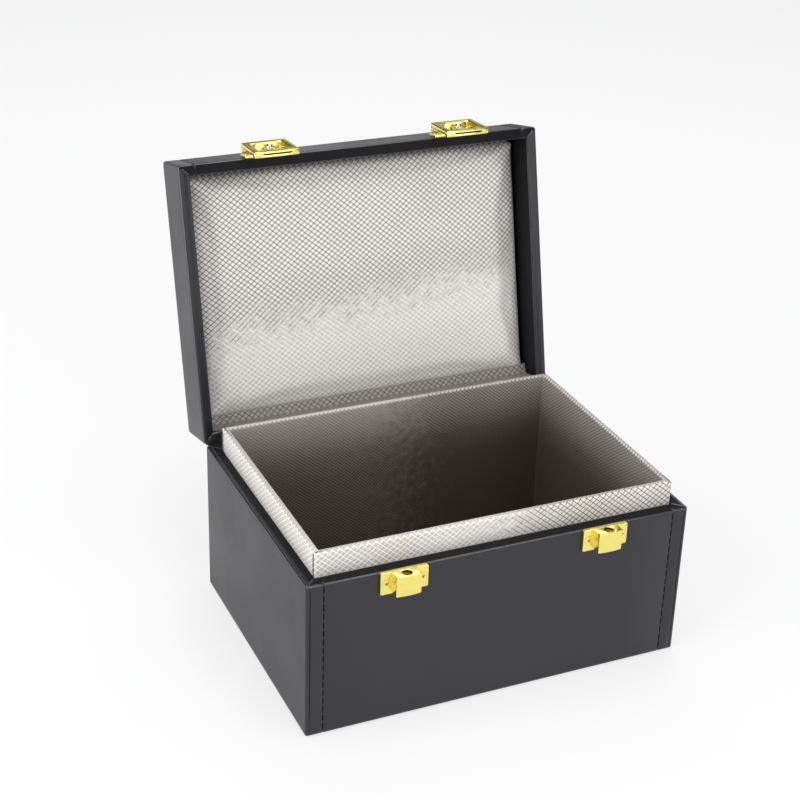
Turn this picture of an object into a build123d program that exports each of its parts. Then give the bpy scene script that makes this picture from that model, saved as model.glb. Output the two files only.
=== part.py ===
from math import radians, tan
import os

from build123d import *

os.makedirs("parts", exist_ok=True)

# ---------------------------------------------------------------------------
# Driving sizes, in millimetres. The box stands on z = 0 with its front at -Y
# and the middle of its underside at the origin. The lid stands open.
# ---------------------------------------------------------------------------
box_width = 200.0
box_depth = 144.0
base_height = 83.4
lid_height = 27.6
open_angle = 102.8
rim_gap = 0.5
corner_radius = 1.5

leather = 1.0
leather_edge = 0.45
lid_top_edge = 0.9
base_board = 4.5
floor_board = 3.0
lid_top_board_thickness = 4.5
bottom_sheet = 0.8
bottom_sheet_inset = 2.5
base_turn_in = 16.0
under_turn = 8.0
lid_turn_in = 16.0
seam_gap = 0.25

# Tray of card and shielding fabric that stands up out of the base
liner_rise = 12.35
liner_card = 1.6
liner_fabric = 0.8
liner_clearance = 0.8
pad_thickness = 3.0
pad_clearance = 0.3
pad_edge = 1.2

# Padded panel in the lid
panel_board = 2.0
panel_fabric = 0.8
panel_clearance = 0.3
panel_roll = 4.5
panel_crown = 1.2
seal_gap = 0.35

# Screws with raised countersunk heads
screw_head = 4.2
screw_shank = 1.8
screw_angle = 110.0
screw_dome = 0.35
screw_dome_slope = 66.0
screw_bite = 4.0
screw_taper = 8.0
screw_facets = 12
screw_clearance = 0.05

# Latches, one to each side of the middle
latch_inset = 47.4
latch_width = 24.0
latch_screw_spread = 9.1
plate_corner = 0.8

catch_plate_height = 11.5
catch_plate = 2.0
catch_screw_drop = 5.6
hood_width = 12.6
hood_height = 10.8
hood_reach = 7.0
hood_bulge = 0.6
hood_top = 1.4
hood_side = 1.4
hood_front = 0.85
hood_hole = 4.6

bracket_foot = 0.2
bracket_height = 8.5
bracket_plate = 1.6
bracket_screw_rise = 5.2
flange_width = 12.8
flange_thickness = 1.8
flange_reach = 6.9
flange_corner = 1.5
pivot_rise = 3.6
pivot_reach = 4.3
knuckle_radius = 1.7
latch_pin = 1.8
pin_clearance = 0.1

stud_reach = 4.6
stud_tail = 1.6
stud_neck = 2.4
stud_ball = 4.0
stud_belt = 1.6
stud_cheek = 0.8
stud_drop = 3.0

loop_rise = 5.8
loop_drop = 15.8
loop_top_reach = 7.5
loop_bottom_reach = 3.9
loop_heel_reach = 1.2
loop_thickness = 2.2
loop_side_bar = 3.7
loop_corner = 1.0
loop_bow = 1.0
loop_catch_gap = 0.2
loop_flange_gap = 0.3
loop_window_corner = 0.8
loop_edge = 0.3
loop_ear = 2.0
loop_clearance = 0.2
grip_groove = 0.6
grip_groove_depth = 0.9
grip_groove_reach = 2.7
grip_groove_length = 15.0

# Stop hinges on the back
hinge_inset = 45.0
hinge_sink = 2.0
hinge_width = 24.0
hinge_leaf = 0.9
hinge_leaf_height = 13.5
hinge_knuckle = 3.0
hinge_pin = 1.4
hinge_middle = 13.6
hinge_side_gap = 0.2
hinge_notch = 0.2
hinge_screw_drop = 9.2
hinge_screw_spread = 7.6
stop_lip = 6.0
stop_gap = 0.03

# ---------------------------------------------------------------------------
# Derived sizes
# ---------------------------------------------------------------------------
half_width = box_width / 2
half_depth = box_depth / 2
rim_width = 2 * leather + base_board
lid_rim_width = rim_width - liner_clearance
lid_board = lid_rim_width - 2 * leather
lid_rim = base_height + rim_gap
lid_top = lid_rim + lid_height
board_foot = bottom_sheet + leather
board_inset = leather + base_board
floor_top = board_foot + floor_board
liner_wall = liner_card + 2 * liner_fabric
liner_top = base_height + liner_rise
liner_inset = rim_width + liner_wall
panel_level = liner_top + seal_gap
panel_back = lid_top - leather - lid_top_board_thickness
panel_width = box_width - 2 * (lid_rim_width + panel_clearance)
panel_depth = box_depth - 2 * (lid_rim_width + panel_clearance)
seam_x = half_width - rim_width
hinge_y = half_depth + hinge_leaf
hinge_z = base_height + rim_gap / 2 - hinge_sink
hinge_spread = half_width - hinge_inset
latch_spread = half_width - latch_inset
hinge_radius = hinge_knuckle / 2
pin_hole = latch_pin / 2 + pin_clearance
screw_cone = (screw_head - screw_shank) / 2 / tan(radians(screw_angle / 2))
lid_swing = Pos(0, hinge_y, hinge_z) * Rot(-open_angle, 0, 0) * Pos(0, -hinge_y, -hinge_z)
ball_bottom = -stud_drop - stud_ball / 2
sides = {"left": -1, "right": 1}


def opened(plane):
    """A plane of the shut lid, carried to where it lies with the lid open."""
    return Plane(lid_swing * plane.location)


def front_face(centre, level):
    """Plane on the front of the box: x to the right, y up from a level, out of the box."""
    return Plane((centre, -half_depth, level), x_dir=(1, 0, 0), z_dir=(0, -1, 0))


def back_face(centre, level):
    """Plane on the back of the box: x to the left, y up from a level, out of the box."""
    return Plane((centre, half_depth, level), x_dir=(-1, 0, 0), z_dir=(0, 1, 0))


def front_section(centre, level):
    """Plane across the front: x is the reach out of the front face, y the height over a level."""
    return Plane((centre, -half_depth, level), x_dir=(0, -1, 0), z_dir=(-1, 0, 0))


def front_plan(centre, level):
    """Plane over the front: x to the right, y the reach out of the front face, facing down."""
    return Plane((centre, -half_depth, level), x_dir=(1, 0, 0), z_dir=(0, 0, -1))


def lid_up():
    """Axis that points from the lid's rim to its top."""
    return Axis((0, 0, 0), opened(Plane.XY).z_dir)


def outline(inset, mode=Mode.ADD):
    """Plan of the box at a distance in from its outer face."""
    radius = corner_radius - inset
    if radius > 0:
        RectangleRounded(box_width - 2 * inset, box_depth - 2 * inset, radius, mode=mode)
    else:
        Rectangle(box_width - 2 * inset, box_depth - 2 * inset, mode=mode)


def board(plane, x_range, y_range, height):
    """Board cut to a window in plan, its corners eased to fit inside the cloth."""
    with BuildSketch(plane) as plan:
        outline(leather)
        with Locations(((x_range[0] + x_range[1]) / 2, (y_range[0] + y_range[1]) / 2)):
            Rectangle(x_range[1] - x_range[0], y_range[1] - y_range[0], mode=Mode.INTERSECT)
    extrude(plan.sketch, amount=height)


def hood_plan(half, back, reach, bulge):
    """Outline of the catch's hood from above, with its front bowed outwards."""
    with BuildLine() as rim:
        Polyline((half, reach), (half, back), (-half, back), (-half, reach))
        ThreePointArc((-half, reach), (0, reach + bulge), (half, reach))
    make_face(rim.edges())


def screw_places(plane, thickness, spread, rise):
    """Where a plate's two screws stand on its outer face."""
    return [plane.location * Pos(side * spread, rise, thickness) for side in sides.values()]


# ---------------------------------------------------------------------------
# Screw: faceted round its axis, head up, with the face that it clamps at z = 0
# ---------------------------------------------------------------------------
def screw_end(clearance):
    """Countersunk head under the clamped face and a shank that narrows to its tip."""
    with BuildSketch() as head:
        RegularPolygon(screw_head / 2 + clearance, screw_facets, major_radius=False)
    extrude(head.sketch, amount=screw_cone, taper=screw_angle / 2)
    with BuildSketch(Plane.XY.offset(screw_cone)) as shank:
        RegularPolygon(screw_shank / 2 + clearance, screw_facets, major_radius=False)
    extrude(shank.sketch, amount=screw_bite + clearance, taper=screw_taper)
    mirror(about=Plane.XY, mode=Mode.REPLACE)


with BuildPart() as screw_blank:
    screw_end(0)
    with BuildSketch() as dome:
        RegularPolygon(screw_head / 2, screw_facets, major_radius=False)
    extrude(dome.sketch, amount=screw_dome, taper=screw_dome_slope)

with BuildPart() as screw_seat:
    screw_end(screw_clearance)


def pierce(places):
    """Holes in plate, cloth and board that the screws fill."""
    with Locations(*places):
        add(screw_seat.part, mode=Mode.SUBTRACT)


catch_screw_places = []
latch_screw_places = []
hinge_base_screw_places = []
hinge_lid_screw_places = []
for side in sides.values():
    catch_face = front_face(side * latch_spread, base_height)
    catch_screw_places += screw_places(catch_face, catch_plate, latch_screw_spread, -catch_screw_drop)
    latch_face = opened(front_face(side * latch_spread, lid_rim))
    latch_screw_places += screw_places(latch_face, bracket_plate, latch_screw_spread, bracket_screw_rise)
    base_leaf_face = back_face(side * hinge_spread, hinge_z)
    hinge_base_screw_places += screw_places(base_leaf_face, hinge_leaf, hinge_screw_spread, -hinge_screw_drop)
    lid_leaf_face = opened(base_leaf_face)
    hinge_lid_screw_places += screw_places(lid_leaf_face, hinge_leaf, hinge_screw_spread, hinge_screw_drop)


hinge_sections = [Plane.YZ.offset(side * hinge_spread) for side in sides.values()]


def hinge_notches(sections):
    """Hollows in cloth and board that let the hinge knuckles in."""
    for section in sections:
        with BuildSketch(section) as notch:
            with Locations((hinge_y, hinge_z)):
                Circle(hinge_radius + hinge_notch)
        extrude(notch.sketch, amount=hinge_width / 2 + hinge_notch, both=True, mode=Mode.SUBTRACT)


# ---------------------------------------------------------------------------
# Base: boards
# ---------------------------------------------------------------------------
wall_board_height = base_height - leather - board_foot
inner_x = half_width - board_inset
inner_y = half_depth - board_inset
skin_x = half_width - leather
skin_y = half_depth - leather

with BuildPart() as base_front_board:
    board(Plane.XY.offset(board_foot), (-skin_x, skin_x), (-skin_y, -inner_y), wall_board_height)
    pierce(catch_screw_places)
base_front_board.part.label = "base_front_board"
export_step(base_front_board.part, "parts/base_front_board.step")

with BuildPart() as base_back_board:
    board(Plane.XY.offset(board_foot), (-skin_x, skin_x), (inner_y, skin_y), wall_board_height)
    hinge_notches(hinge_sections)
    pierce(hinge_base_screw_places)
base_back_board.part.label = "base_back_board"
export_step(base_back_board.part, "parts/base_back_board.step")

for name, side in sides.items():
    with BuildPart() as base_side_board:
        board(
            Plane.XY.offset(board_foot),
            sorted((side * inner_x, side * skin_x)),
            (-inner_y, inner_y),
            wall_board_height,
        )
    base_side_board.part.label = f"base_{name}_board"
    export_step(base_side_board.part, f"parts/base_{name}_board.step")

with BuildPart() as base_floor_board:
    board(Plane.XY.offset(board_foot), (-inner_x, inner_x), (-inner_y, inner_y), floor_board)
base_floor_board.part.label = "base_floor_board"
export_step(base_floor_board.part, "parts/base_floor_board.step")

# ---------------------------------------------------------------------------
# Base: leather cloth, drawn as layers of a square ring and cut at the seams
# ---------------------------------------------------------------------------
wrap_layers = (
    (bottom_sheet, bottom_sheet + leather, 0, under_turn),
    (bottom_sheet, base_height, 0, leather),
    (base_height - leather, base_height, 0, rim_width),
    (base_height - base_turn_in, base_height, board_inset, rim_width),
)


def wrap_stretch(centre, size):
    """The stretch of the cloth inside a window in plan."""
    for bottom, top, outer, inner in wrap_layers:
        with BuildSketch(Plane.XY.offset(bottom)) as layer:
            outline(outer)
            outline(inner, Mode.SUBTRACT)
            with Locations(centre):
                Rectangle(*size, mode=Mode.INTERSECT)
        extrude(layer.sketch, amount=top - bottom)


def soft_rims(wrap):
    """Eases the cloth where it folds over the rim and under the floor."""
    chamfer(wrap.faces().sort_by(Axis.Z)[-1].edges(), leather_edge)
    folds = wrap.faces().sort_by(Axis.Z)[0].edges()
    outer_folds = folds.filter_by(
        lambda edge: abs(edge.center().X) > half_width - corner_radius
        or abs(edge.center().Y) > half_depth - corner_radius
    )
    chamfer(outer_folds, leather_edge)


middle_width = 2 * (seam_x - seam_gap)
with BuildPart() as base_front_wrap:
    wrap_stretch((0, under_turn / 2 - half_depth), (middle_width, under_turn))
    soft_rims(base_front_wrap)
    pierce(catch_screw_places)
base_front_wrap.part.label = "base_front_wrap"
export_step(base_front_wrap.part, "parts/base_front_wrap.step")

with BuildPart() as base_back_wrap:
    wrap_stretch((0, half_depth - under_turn / 2), (middle_width, under_turn))
    soft_rims(base_back_wrap)
    hinge_notches(hinge_sections)
    pierce(hinge_base_screw_places)
base_back_wrap.part.label = "base_back_wrap"
export_step(base_back_wrap.part, "parts/base_back_wrap.step")

for name, side in sides.items():
    with BuildPart() as base_side_wrap:
        wrap_stretch((side * (half_width - rim_width / 2), 0), (rim_width, box_depth))
        soft_rims(base_side_wrap)
    base_side_wrap.part.label = f"base_{name}_wrap"
    export_step(base_side_wrap.part, f"parts/base_{name}_wrap.step")

with BuildPart() as base_bottom_sheet:
    with BuildSketch():
        outline(bottom_sheet_inset)
    extrude(amount=bottom_sheet)
base_bottom_sheet.part.label = "base_bottom_sheet"
export_step(base_bottom_sheet.part, "parts/base_bottom_sheet.step")

# ---------------------------------------------------------------------------
# Tray: card with shielding fabric folded over its top
# ---------------------------------------------------------------------------
tray_x = half_width - rim_width
tray_y = half_depth - rim_width


def tray_wall(plane, length, label):
    """Fabric and card of one wall, in section on a plane and run out both ways."""
    with BuildPart() as card:
        with BuildSketch(plane):
            with Locations((liner_wall / 2, (liner_top - liner_fabric - floor_top) / 2)):
                Rectangle(liner_card, liner_top - liner_fabric - floor_top)
        extrude(amount=length / 2, both=True)
    with BuildPart() as fabric:
        with BuildSketch(plane):
            with BuildLine():
                Line((0, 0), (0, liner_top - floor_top - liner_wall / 2))
                RadiusArc(
                    (0, liner_top - floor_top - liner_wall / 2),
                    (liner_wall, liner_top - floor_top - liner_wall / 2),
                    liner_wall / 2,
                )
                Line((liner_wall, liner_top - floor_top - liner_wall / 2), (liner_wall, 0))
                Line((liner_wall, 0), (0, 0))
            make_face()
        extrude(amount=length / 2, both=True)
        add(card.part, mode=Mode.SUBTRACT)
    card.part.label = f"liner_card_{label}"
    export_step(card.part, f"parts/liner_card_{label}.step")
    fabric.part.label = f"liner_fabric_{label}"
    export_step(fabric.part, f"parts/liner_fabric_{label}.step")


end_length = 2 * (tray_y - liner_wall)
tray_wall(Plane((0, -tray_y, floor_top), x_dir=(0, 1, 0), z_dir=(1, 0, 0)), 2 * tray_x, "front")
tray_wall(Plane((0, tray_y, floor_top), x_dir=(0, -1, 0), z_dir=(-1, 0, 0)), 2 * tray_x, "back")
tray_wall(Plane((-tray_x, 0, floor_top), x_dir=(1, 0, 0), z_dir=(0, -1, 0)), end_length, "left")
tray_wall(Plane((tray_x, 0, floor_top), x_dir=(-1, 0, 0), z_dir=(0, 1, 0)), end_length, "right")

with BuildPart() as floor_pad:
    with BuildSketch(Plane.XY.offset(floor_top)):
        Rectangle(
            box_width - 2 * (liner_inset + pad_clearance),
            box_depth - 2 * (liner_inset + pad_clearance),
        )
    extrude(amount=pad_thickness)
    fillet(floor_pad.faces().sort_by(Axis.Z)[-1].edges(), pad_edge)
floor_pad.part.label = "floor_pad"
export_step(floor_pad.part, "parts/floor_pad.step")

# ---------------------------------------------------------------------------
# Catches on the front: a screwed plate with a hollow hood that takes the stud
# ---------------------------------------------------------------------------
for name, side in sides.items():
    catch_face = front_face(side * latch_spread, base_height)
    catch_plan = front_plan(side * latch_spread, base_height)
    with BuildPart() as catch:
        with BuildSketch(catch_face):
            with Locations((0, -catch_plate_height / 2)):
                RectangleRounded(latch_width, catch_plate_height, plate_corner)
        extrude(amount=catch_plate)
        with BuildSketch(catch_plan):
            hood_plan(hood_width / 2, 0, hood_reach, hood_bulge)
        extrude(amount=hood_height)
        with BuildSketch(catch_plan.offset(hood_top)):
            hood_plan(hood_width / 2 - hood_side, catch_plate, hood_reach - hood_front, hood_bulge)
        extrude(amount=hood_height, mode=Mode.SUBTRACT)
        with BuildSketch(catch_plan):
            with Locations((0, stud_reach)):
                Circle(hood_hole / 2)
        extrude(amount=hood_top, mode=Mode.SUBTRACT)
        pierce(catch_screw_places)
    catch.part.label = f"catch_{name}"
    export_step(catch.part, f"parts/catch_{name}.step")

# ---------------------------------------------------------------------------
# Lid: boards, cloth and padded panel
# ---------------------------------------------------------------------------
lid_inner_x = skin_x - lid_board
lid_inner_y = skin_y - lid_board
lid_wall_plane = opened(Plane.XY.offset(lid_rim + leather))
lid_wall_height = panel_back - lid_rim - leather
opened_hinge_sections = [opened(section) for section in hinge_sections]

with BuildPart() as lid_top_board:
    board(
        opened(Plane.XY.offset(panel_back)),
        (-skin_x, skin_x),
        (-skin_y, skin_y),
        lid_top_board_thickness,
    )
lid_top_board.part.label = "lid_top_board"
export_step(lid_top_board.part, "parts/lid_top_board.step")

with BuildPart() as lid_front_board:
    board(lid_wall_plane, (-skin_x, skin_x), (-skin_y, -lid_inner_y), lid_wall_height)
    pierce(latch_screw_places)
lid_front_board.part.label = "lid_front_board"
export_step(lid_front_board.part, "parts/lid_front_board.step")

with BuildPart() as lid_back_board:
    board(lid_wall_plane, (-skin_x, skin_x), (lid_inner_y, skin_y), lid_wall_height)
    hinge_notches(opened_hinge_sections)
    pierce(hinge_lid_screw_places)
lid_back_board.part.label = "lid_back_board"
export_step(lid_back_board.part, "parts/lid_back_board.step")

for name, side in sides.items():
    with BuildPart() as lid_side_board:
        board(
            lid_wall_plane,
            sorted((side * lid_inner_x, side * skin_x)),
            (-lid_inner_y, lid_inner_y),
            lid_wall_height,
        )
    lid_side_board.part.label = f"lid_{name}_board"
    export_step(lid_side_board.part, f"parts/lid_{name}_board.step")

lid_layers = (
    (lid_rim, lid_top, 0, leather),
    (lid_rim, lid_rim + leather, 0, lid_rim_width),
    (lid_rim, lid_rim + lid_turn_in, lid_rim_width - leather, lid_rim_width),
)
with BuildPart() as lid_wrap:
    for bottom, top, outer, inner in lid_layers:
        with BuildSketch(opened(Plane.XY.offset(bottom))):
            outline(outer)
            outline(inner, Mode.SUBTRACT)
        extrude(amount=top - bottom)
    with BuildSketch(opened(Plane.XY.offset(lid_top - leather))):
        outline(0)
    extrude(amount=leather)
    chamfer(lid_wrap.faces().sort_by(lid_up())[-1].edges(), lid_top_edge)
    chamfer(lid_wrap.faces().sort_by(lid_up())[0].edges(), leather_edge)
    hinge_notches(opened_hinge_sections)
    pierce(latch_screw_places + hinge_lid_screw_places)
lid_wrap.part.label = "lid_wrap"
export_step(lid_wrap.part, "parts/lid_wrap.step")


def pillow(inset, back):
    """Upholstered block: its face crowned both ways and rolled over at its edges."""
    roll = panel_roll - inset
    level = panel_level + inset
    sections = (
        (Plane.XZ, panel_width / 2 - inset, panel_depth, Mode.ADD),
        (Plane.YZ, panel_depth / 2 - inset, panel_width, Mode.INTERSECT),
    )
    for plane, half, run, mode in sections:
        with BuildSketch(opened(plane)) as section:
            with BuildLine():
                Line((-half, back), (-half, level + roll))
                RadiusArc((-half, level + roll), (roll - half, level), -roll)
                ThreePointArc((roll - half, level), (0, level - panel_crown), (half - roll, level))
                RadiusArc((half - roll, level), (half, level + roll), -roll)
                Polyline((half, level + roll), (half, back), (-half, back))
            make_face()
        extrude(section.sketch, amount=run / 2 - inset, both=True, mode=mode)


with BuildPart() as lid_panel_filling:
    pillow(panel_fabric, panel_back)

with BuildPart() as lid_panel_fabric:
    pillow(0, panel_back)
    add(lid_panel_filling.part, mode=Mode.SUBTRACT)
lid_panel_fabric.part.label = "lid_panel_fabric"
export_step(lid_panel_fabric.part, "parts/lid_panel_fabric.step")

with BuildPart() as lid_panel_foam:
    pillow(panel_fabric, panel_back - panel_board)
lid_panel_foam.part.label = "lid_panel_foam"
export_step(lid_panel_foam.part, "parts/lid_panel_foam.step")

with BuildPart() as lid_panel_board:
    with BuildSketch(opened(Plane.XY.offset(panel_back - panel_board))):
        Rectangle(panel_width - 2 * panel_fabric, panel_depth - 2 * panel_fabric)
    extrude(amount=panel_board)
lid_panel_board.part.label = "lid_panel_board"
export_step(lid_panel_board.part, "parts/lid_panel_board.step")

# ---------------------------------------------------------------------------
# Latches on the lid: bracket, ball stud, pin and the loop that swings on it
# ---------------------------------------------------------------------------
flange_top = bracket_foot + flange_thickness
window_top = flange_top + loop_flange_gap
window_bottom = -(rim_gap + catch_plate_height + loop_catch_gap)
window_half_width = latch_width / 2 - loop_side_bar
loop_lean = (loop_top_reach - loop_bottom_reach) / (loop_rise + loop_drop)
underside_reach = loop_top_reach - loop_thickness - loop_lean * (loop_rise - window_bottom)
heel_slope = underside_reach - loop_heel_reach

for name, side in sides.items():
    centre = side * latch_spread
    latch_face = opened(front_face(centre, lid_rim))
    latch_section = opened(front_section(centre, lid_rim))
    latch_plan = opened(front_plan(centre, lid_rim))
    pivot = (pivot_reach, pivot_rise)
    loop_outwards = Axis(latch_section.origin, latch_section.x_dir - loop_lean * latch_section.y_dir)

    with BuildPart() as bracket:
        with BuildSketch(latch_face):
            with Locations((0, (bracket_foot + bracket_height) / 2)):
                RectangleRounded(latch_width, bracket_height - bracket_foot, plate_corner)
        extrude(amount=bracket_plate)
        with BuildSketch(latch_plan.offset(-flange_top)) as flange:
            with Locations((0, flange_reach / 2)):
                Rectangle(flange_width, flange_reach)
            fillet(flange.vertices().group_by(Axis.Y)[-1], flange_corner)
        extrude(amount=flange_thickness)
        with BuildSketch(latch_section):
            with Locations(pivot):
                Circle(knuckle_radius)
            with Locations((pivot_reach / 2, pivot_rise)):
                Rectangle(pivot_reach, 2 * knuckle_radius)
        extrude(amount=flange_width / 2, both=True)
        with BuildSketch(latch_section):
            with Locations(pivot):
                Circle(latch_pin / 2)
        extrude(amount=latch_width, both=True, mode=Mode.SUBTRACT)
        with BuildSketch(latch_plan.offset(-flange_top)):
            with Locations((0, stud_reach)):
                Circle(stud_tail / 2)
        extrude(amount=flange_thickness, mode=Mode.SUBTRACT)
        pierce(latch_screw_places)
    bracket.part.label = f"latch_bracket_{name}"
    export_step(bracket.part, f"parts/latch_bracket_{name}.step")

    with BuildPart() as stud:
        with BuildSketch(latch_section):
            with BuildLine():
                Polyline(
                    (stud_reach, ball_bottom),
                    (stud_reach, flange_top),
                    (stud_reach + stud_tail / 2, flange_top),
                    (stud_reach + stud_tail / 2, bracket_foot),
                    (stud_reach + stud_neck / 2, bracket_foot),
                    (stud_reach + stud_neck / 2, stud_belt / 2 + stud_cheek - stud_drop),
                    (stud_reach + stud_ball / 2, stud_belt / 2 - stud_drop),
                    (stud_reach + stud_ball / 2, -stud_belt / 2 - stud_drop),
                    (stud_reach + stud_neck / 2, ball_bottom),
                    close=True,
                )
            make_face()
        revolve(axis=Axis(latch_section.from_local_coords((stud_reach, 0)), latch_section.y_dir))
    stud.part.label = f"latch_stud_{name}"
    export_step(stud.part, f"parts/latch_stud_{name}.step")

    with BuildPart() as pin:
        with BuildSketch(latch_section):
            with Locations(pivot):
                Circle(latch_pin / 2)
        extrude(amount=latch_width / 2, both=True)
    pin.part.label = f"latch_pin_{name}"
    export_step(pin.part, f"parts/latch_pin_{name}.step")

    with BuildPart() as loop:
        with BuildSketch(latch_section):
            with BuildLine():
                Polyline(
                    (loop_top_reach, loop_rise),
                    (loop_bottom_reach, -loop_drop),
                    (loop_heel_reach, -loop_drop),
                    (loop_heel_reach, window_bottom - heel_slope),
                    (underside_reach, window_bottom),
                    (loop_top_reach - loop_thickness, loop_rise),
                    close=True,
                )
            make_face()
            with Locations(pivot):
                Circle(loop_ear)
        extrude(amount=latch_width / 2, both=True)
        with BuildSketch(latch_face) as loop_outline:
            with BuildLine():
                Polyline(
                    (-latch_width / 2, loop_bow - loop_drop),
                    (-latch_width / 2, loop_rise),
                    (latch_width / 2, loop_rise),
                    (latch_width / 2, loop_bow - loop_drop),
                )
                ThreePointArc(
                    (latch_width / 2, loop_bow - loop_drop),
                    (0, -loop_drop),
                    (-latch_width / 2, loop_bow - loop_drop),
                )
            make_face()
            fillet(loop_outline.vertices(), loop_corner)
        extrude(amount=loop_top_reach, mode=Mode.INTERSECT)
        with BuildSketch(latch_face) as window:
            with Locations((0, (window_top + window_bottom) / 2)):
                Rectangle(2 * window_half_width, window_top - window_bottom)
            fillet(window.vertices().group_by(Axis.Y)[0], loop_window_corner)
        extrude(amount=loop_top_reach, mode=Mode.SUBTRACT)
        with BuildSketch(latch_section):
            with Locations(((pivot_reach + knuckle_radius + loop_clearance) / 2, pivot_rise)):
                Rectangle(pivot_reach + knuckle_radius + loop_clearance, 2 * loop_rise)
        extrude(amount=flange_width / 2 + loop_flange_gap, both=True, mode=Mode.SUBTRACT)
        with BuildSketch(latch_section):
            with Locations(pivot):
                Circle(pin_hole)
        extrude(amount=latch_width, both=True, mode=Mode.SUBTRACT)
        with BuildSketch(latch_section):
            with Locations((grip_groove_reach, grip_groove_depth / 2 - loop_drop)):
                Rectangle(grip_groove, grip_groove_depth)
        extrude(amount=grip_groove_length / 2, both=True, mode=Mode.SUBTRACT)
        chamfer(loop.faces().filter_by(GeomType.PLANE).sort_by(loop_outwards)[-1].edges(), loop_edge)
    loop.part.label = f"latch_loop_{name}"
    export_step(loop.part, f"parts/latch_loop_{name}.step")

# ---------------------------------------------------------------------------
# Stop hinges: the lip of the lid's leaf lands on the base's leaf
# ---------------------------------------------------------------------------
knuckle_space = 2 * (hinge_radius + hinge_notch)
middle_space = hinge_middle + 2 * hinge_side_gap
outer_knuckle = (hinge_width - middle_space) / 2


def barrel(section, radius, half_length, mode=Mode.ADD):
    """Round bar or bore along the hinge's pin."""
    with BuildSketch(section) as disc:
        with Locations((hinge_y, hinge_z)):
            Circle(radius)
    extrude(disc.sketch, amount=half_length, both=True, mode=mode)


for name, side in sides.items():
    centre = side * hinge_spread
    section = Plane.YZ.offset(centre)
    leaf_face = back_face(centre, hinge_z)

    with BuildPart() as base_leaf:
        with BuildSketch(leaf_face) as leaf:
            with Locations((0, -hinge_leaf_height / 2)):
                Rectangle(hinge_width, hinge_leaf_height)
            chamfer(leaf.vertices().group_by(Axis.Y)[0], plate_corner)
        extrude(amount=hinge_leaf)
        barrel(section, hinge_radius, hinge_width / 2)
        barrel(section, hinge_radius + hinge_notch, middle_space / 2, Mode.SUBTRACT)
        with BuildSketch(leaf_face):
            Rectangle(middle_space, knuckle_space)
        extrude(amount=hinge_leaf, mode=Mode.SUBTRACT)
        barrel(section, hinge_pin / 2, hinge_width, Mode.SUBTRACT)
        pierce(hinge_base_screw_places)
    base_leaf.part.label = f"hinge_base_leaf_{name}"
    export_step(base_leaf.part, f"parts/hinge_base_leaf_{name}.step")

    with BuildPart() as lid_leaf:
        with BuildSketch(opened(leaf_face)) as leaf:
            with Locations((0, hinge_leaf_height / 2)):
                Rectangle(hinge_width, hinge_leaf_height)
            chamfer(leaf.vertices().group_by(Axis.Y)[-1], plate_corner)
            for end in sides.values():
                with Locations((end * (hinge_width - outer_knuckle) / 2, 0)):
                    Rectangle(outer_knuckle + 2 * hinge_side_gap, knuckle_space, mode=Mode.SUBTRACT)
        extrude(amount=hinge_leaf)
        barrel(section, hinge_radius, hinge_middle / 2)
        with BuildSketch(section):
            with Locations((hinge_y + stop_gap + hinge_leaf / 2, hinge_z - stop_lip / 2)):
                Rectangle(hinge_leaf, stop_lip)
        extrude(amount=hinge_middle / 2, both=True)
        barrel(section, hinge_pin / 2 + pin_clearance, hinge_width, Mode.SUBTRACT)
        pierce(hinge_lid_screw_places)
    lid_leaf.part.label = f"hinge_lid_leaf_{name}"
    export_step(lid_leaf.part, f"parts/hinge_lid_leaf_{name}.step")

    with BuildPart() as hinge_rod:
        barrel(section, hinge_pin / 2, hinge_width / 2)
    hinge_rod.part.label = f"hinge_pin_{name}"
    export_step(hinge_rod.part, f"parts/hinge_pin_{name}.step")

# ---------------------------------------------------------------------------
# Screws, four to a set
# ---------------------------------------------------------------------------
screw_sets = {
    "catch_screws": catch_screw_places,
    "latch_screws": latch_screw_places,
    "hinge_base_screws": hinge_base_screw_places,
    "hinge_lid_screws": hinge_lid_screw_places,
}
for name, places in screw_sets.items():
    with BuildPart() as screws:
        with Locations(*places):
            add(screw_blank.part)
    screws.part.label = name
    export_step(screws.part, f"parts/{name}.step")
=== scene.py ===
# %% [markdown]
# # A latched key box, dressed in Blender
#
# The CAD model is loaded first. It is the frame of this lesson: every new piece is
# made to the same sizes and rides on one of its bodies. The sizes below are in
# millimetres, because that is how the box is measured, and `mm` turns them into
# the metres that Blender works in. Nothing may be selected when the first
# operator runs, since an operator acts on all that is selected.

import math
import random

import bmesh
import bpy
from mathutils import Matrix, Vector
from mathutils import noise as solid_noise


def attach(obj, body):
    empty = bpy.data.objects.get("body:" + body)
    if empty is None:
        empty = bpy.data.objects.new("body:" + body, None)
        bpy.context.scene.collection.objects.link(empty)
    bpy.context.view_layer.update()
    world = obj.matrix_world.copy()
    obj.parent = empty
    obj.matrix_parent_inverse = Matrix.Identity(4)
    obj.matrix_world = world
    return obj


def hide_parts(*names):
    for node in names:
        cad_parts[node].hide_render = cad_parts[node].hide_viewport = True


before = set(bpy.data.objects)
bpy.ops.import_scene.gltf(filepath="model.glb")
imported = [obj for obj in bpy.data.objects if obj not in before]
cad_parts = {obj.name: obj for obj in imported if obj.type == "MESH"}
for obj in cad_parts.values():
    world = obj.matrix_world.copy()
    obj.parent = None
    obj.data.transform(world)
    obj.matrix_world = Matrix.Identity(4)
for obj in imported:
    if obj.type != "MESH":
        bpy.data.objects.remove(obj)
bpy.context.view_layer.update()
bpy.ops.object.select_all(action="DESELECT")


def mm(*sizes):
    """Millimetres to metres, one size or several."""
    return sizes[0] / 1000 if len(sizes) == 1 else tuple(size / 1000 for size in sizes)


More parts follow.
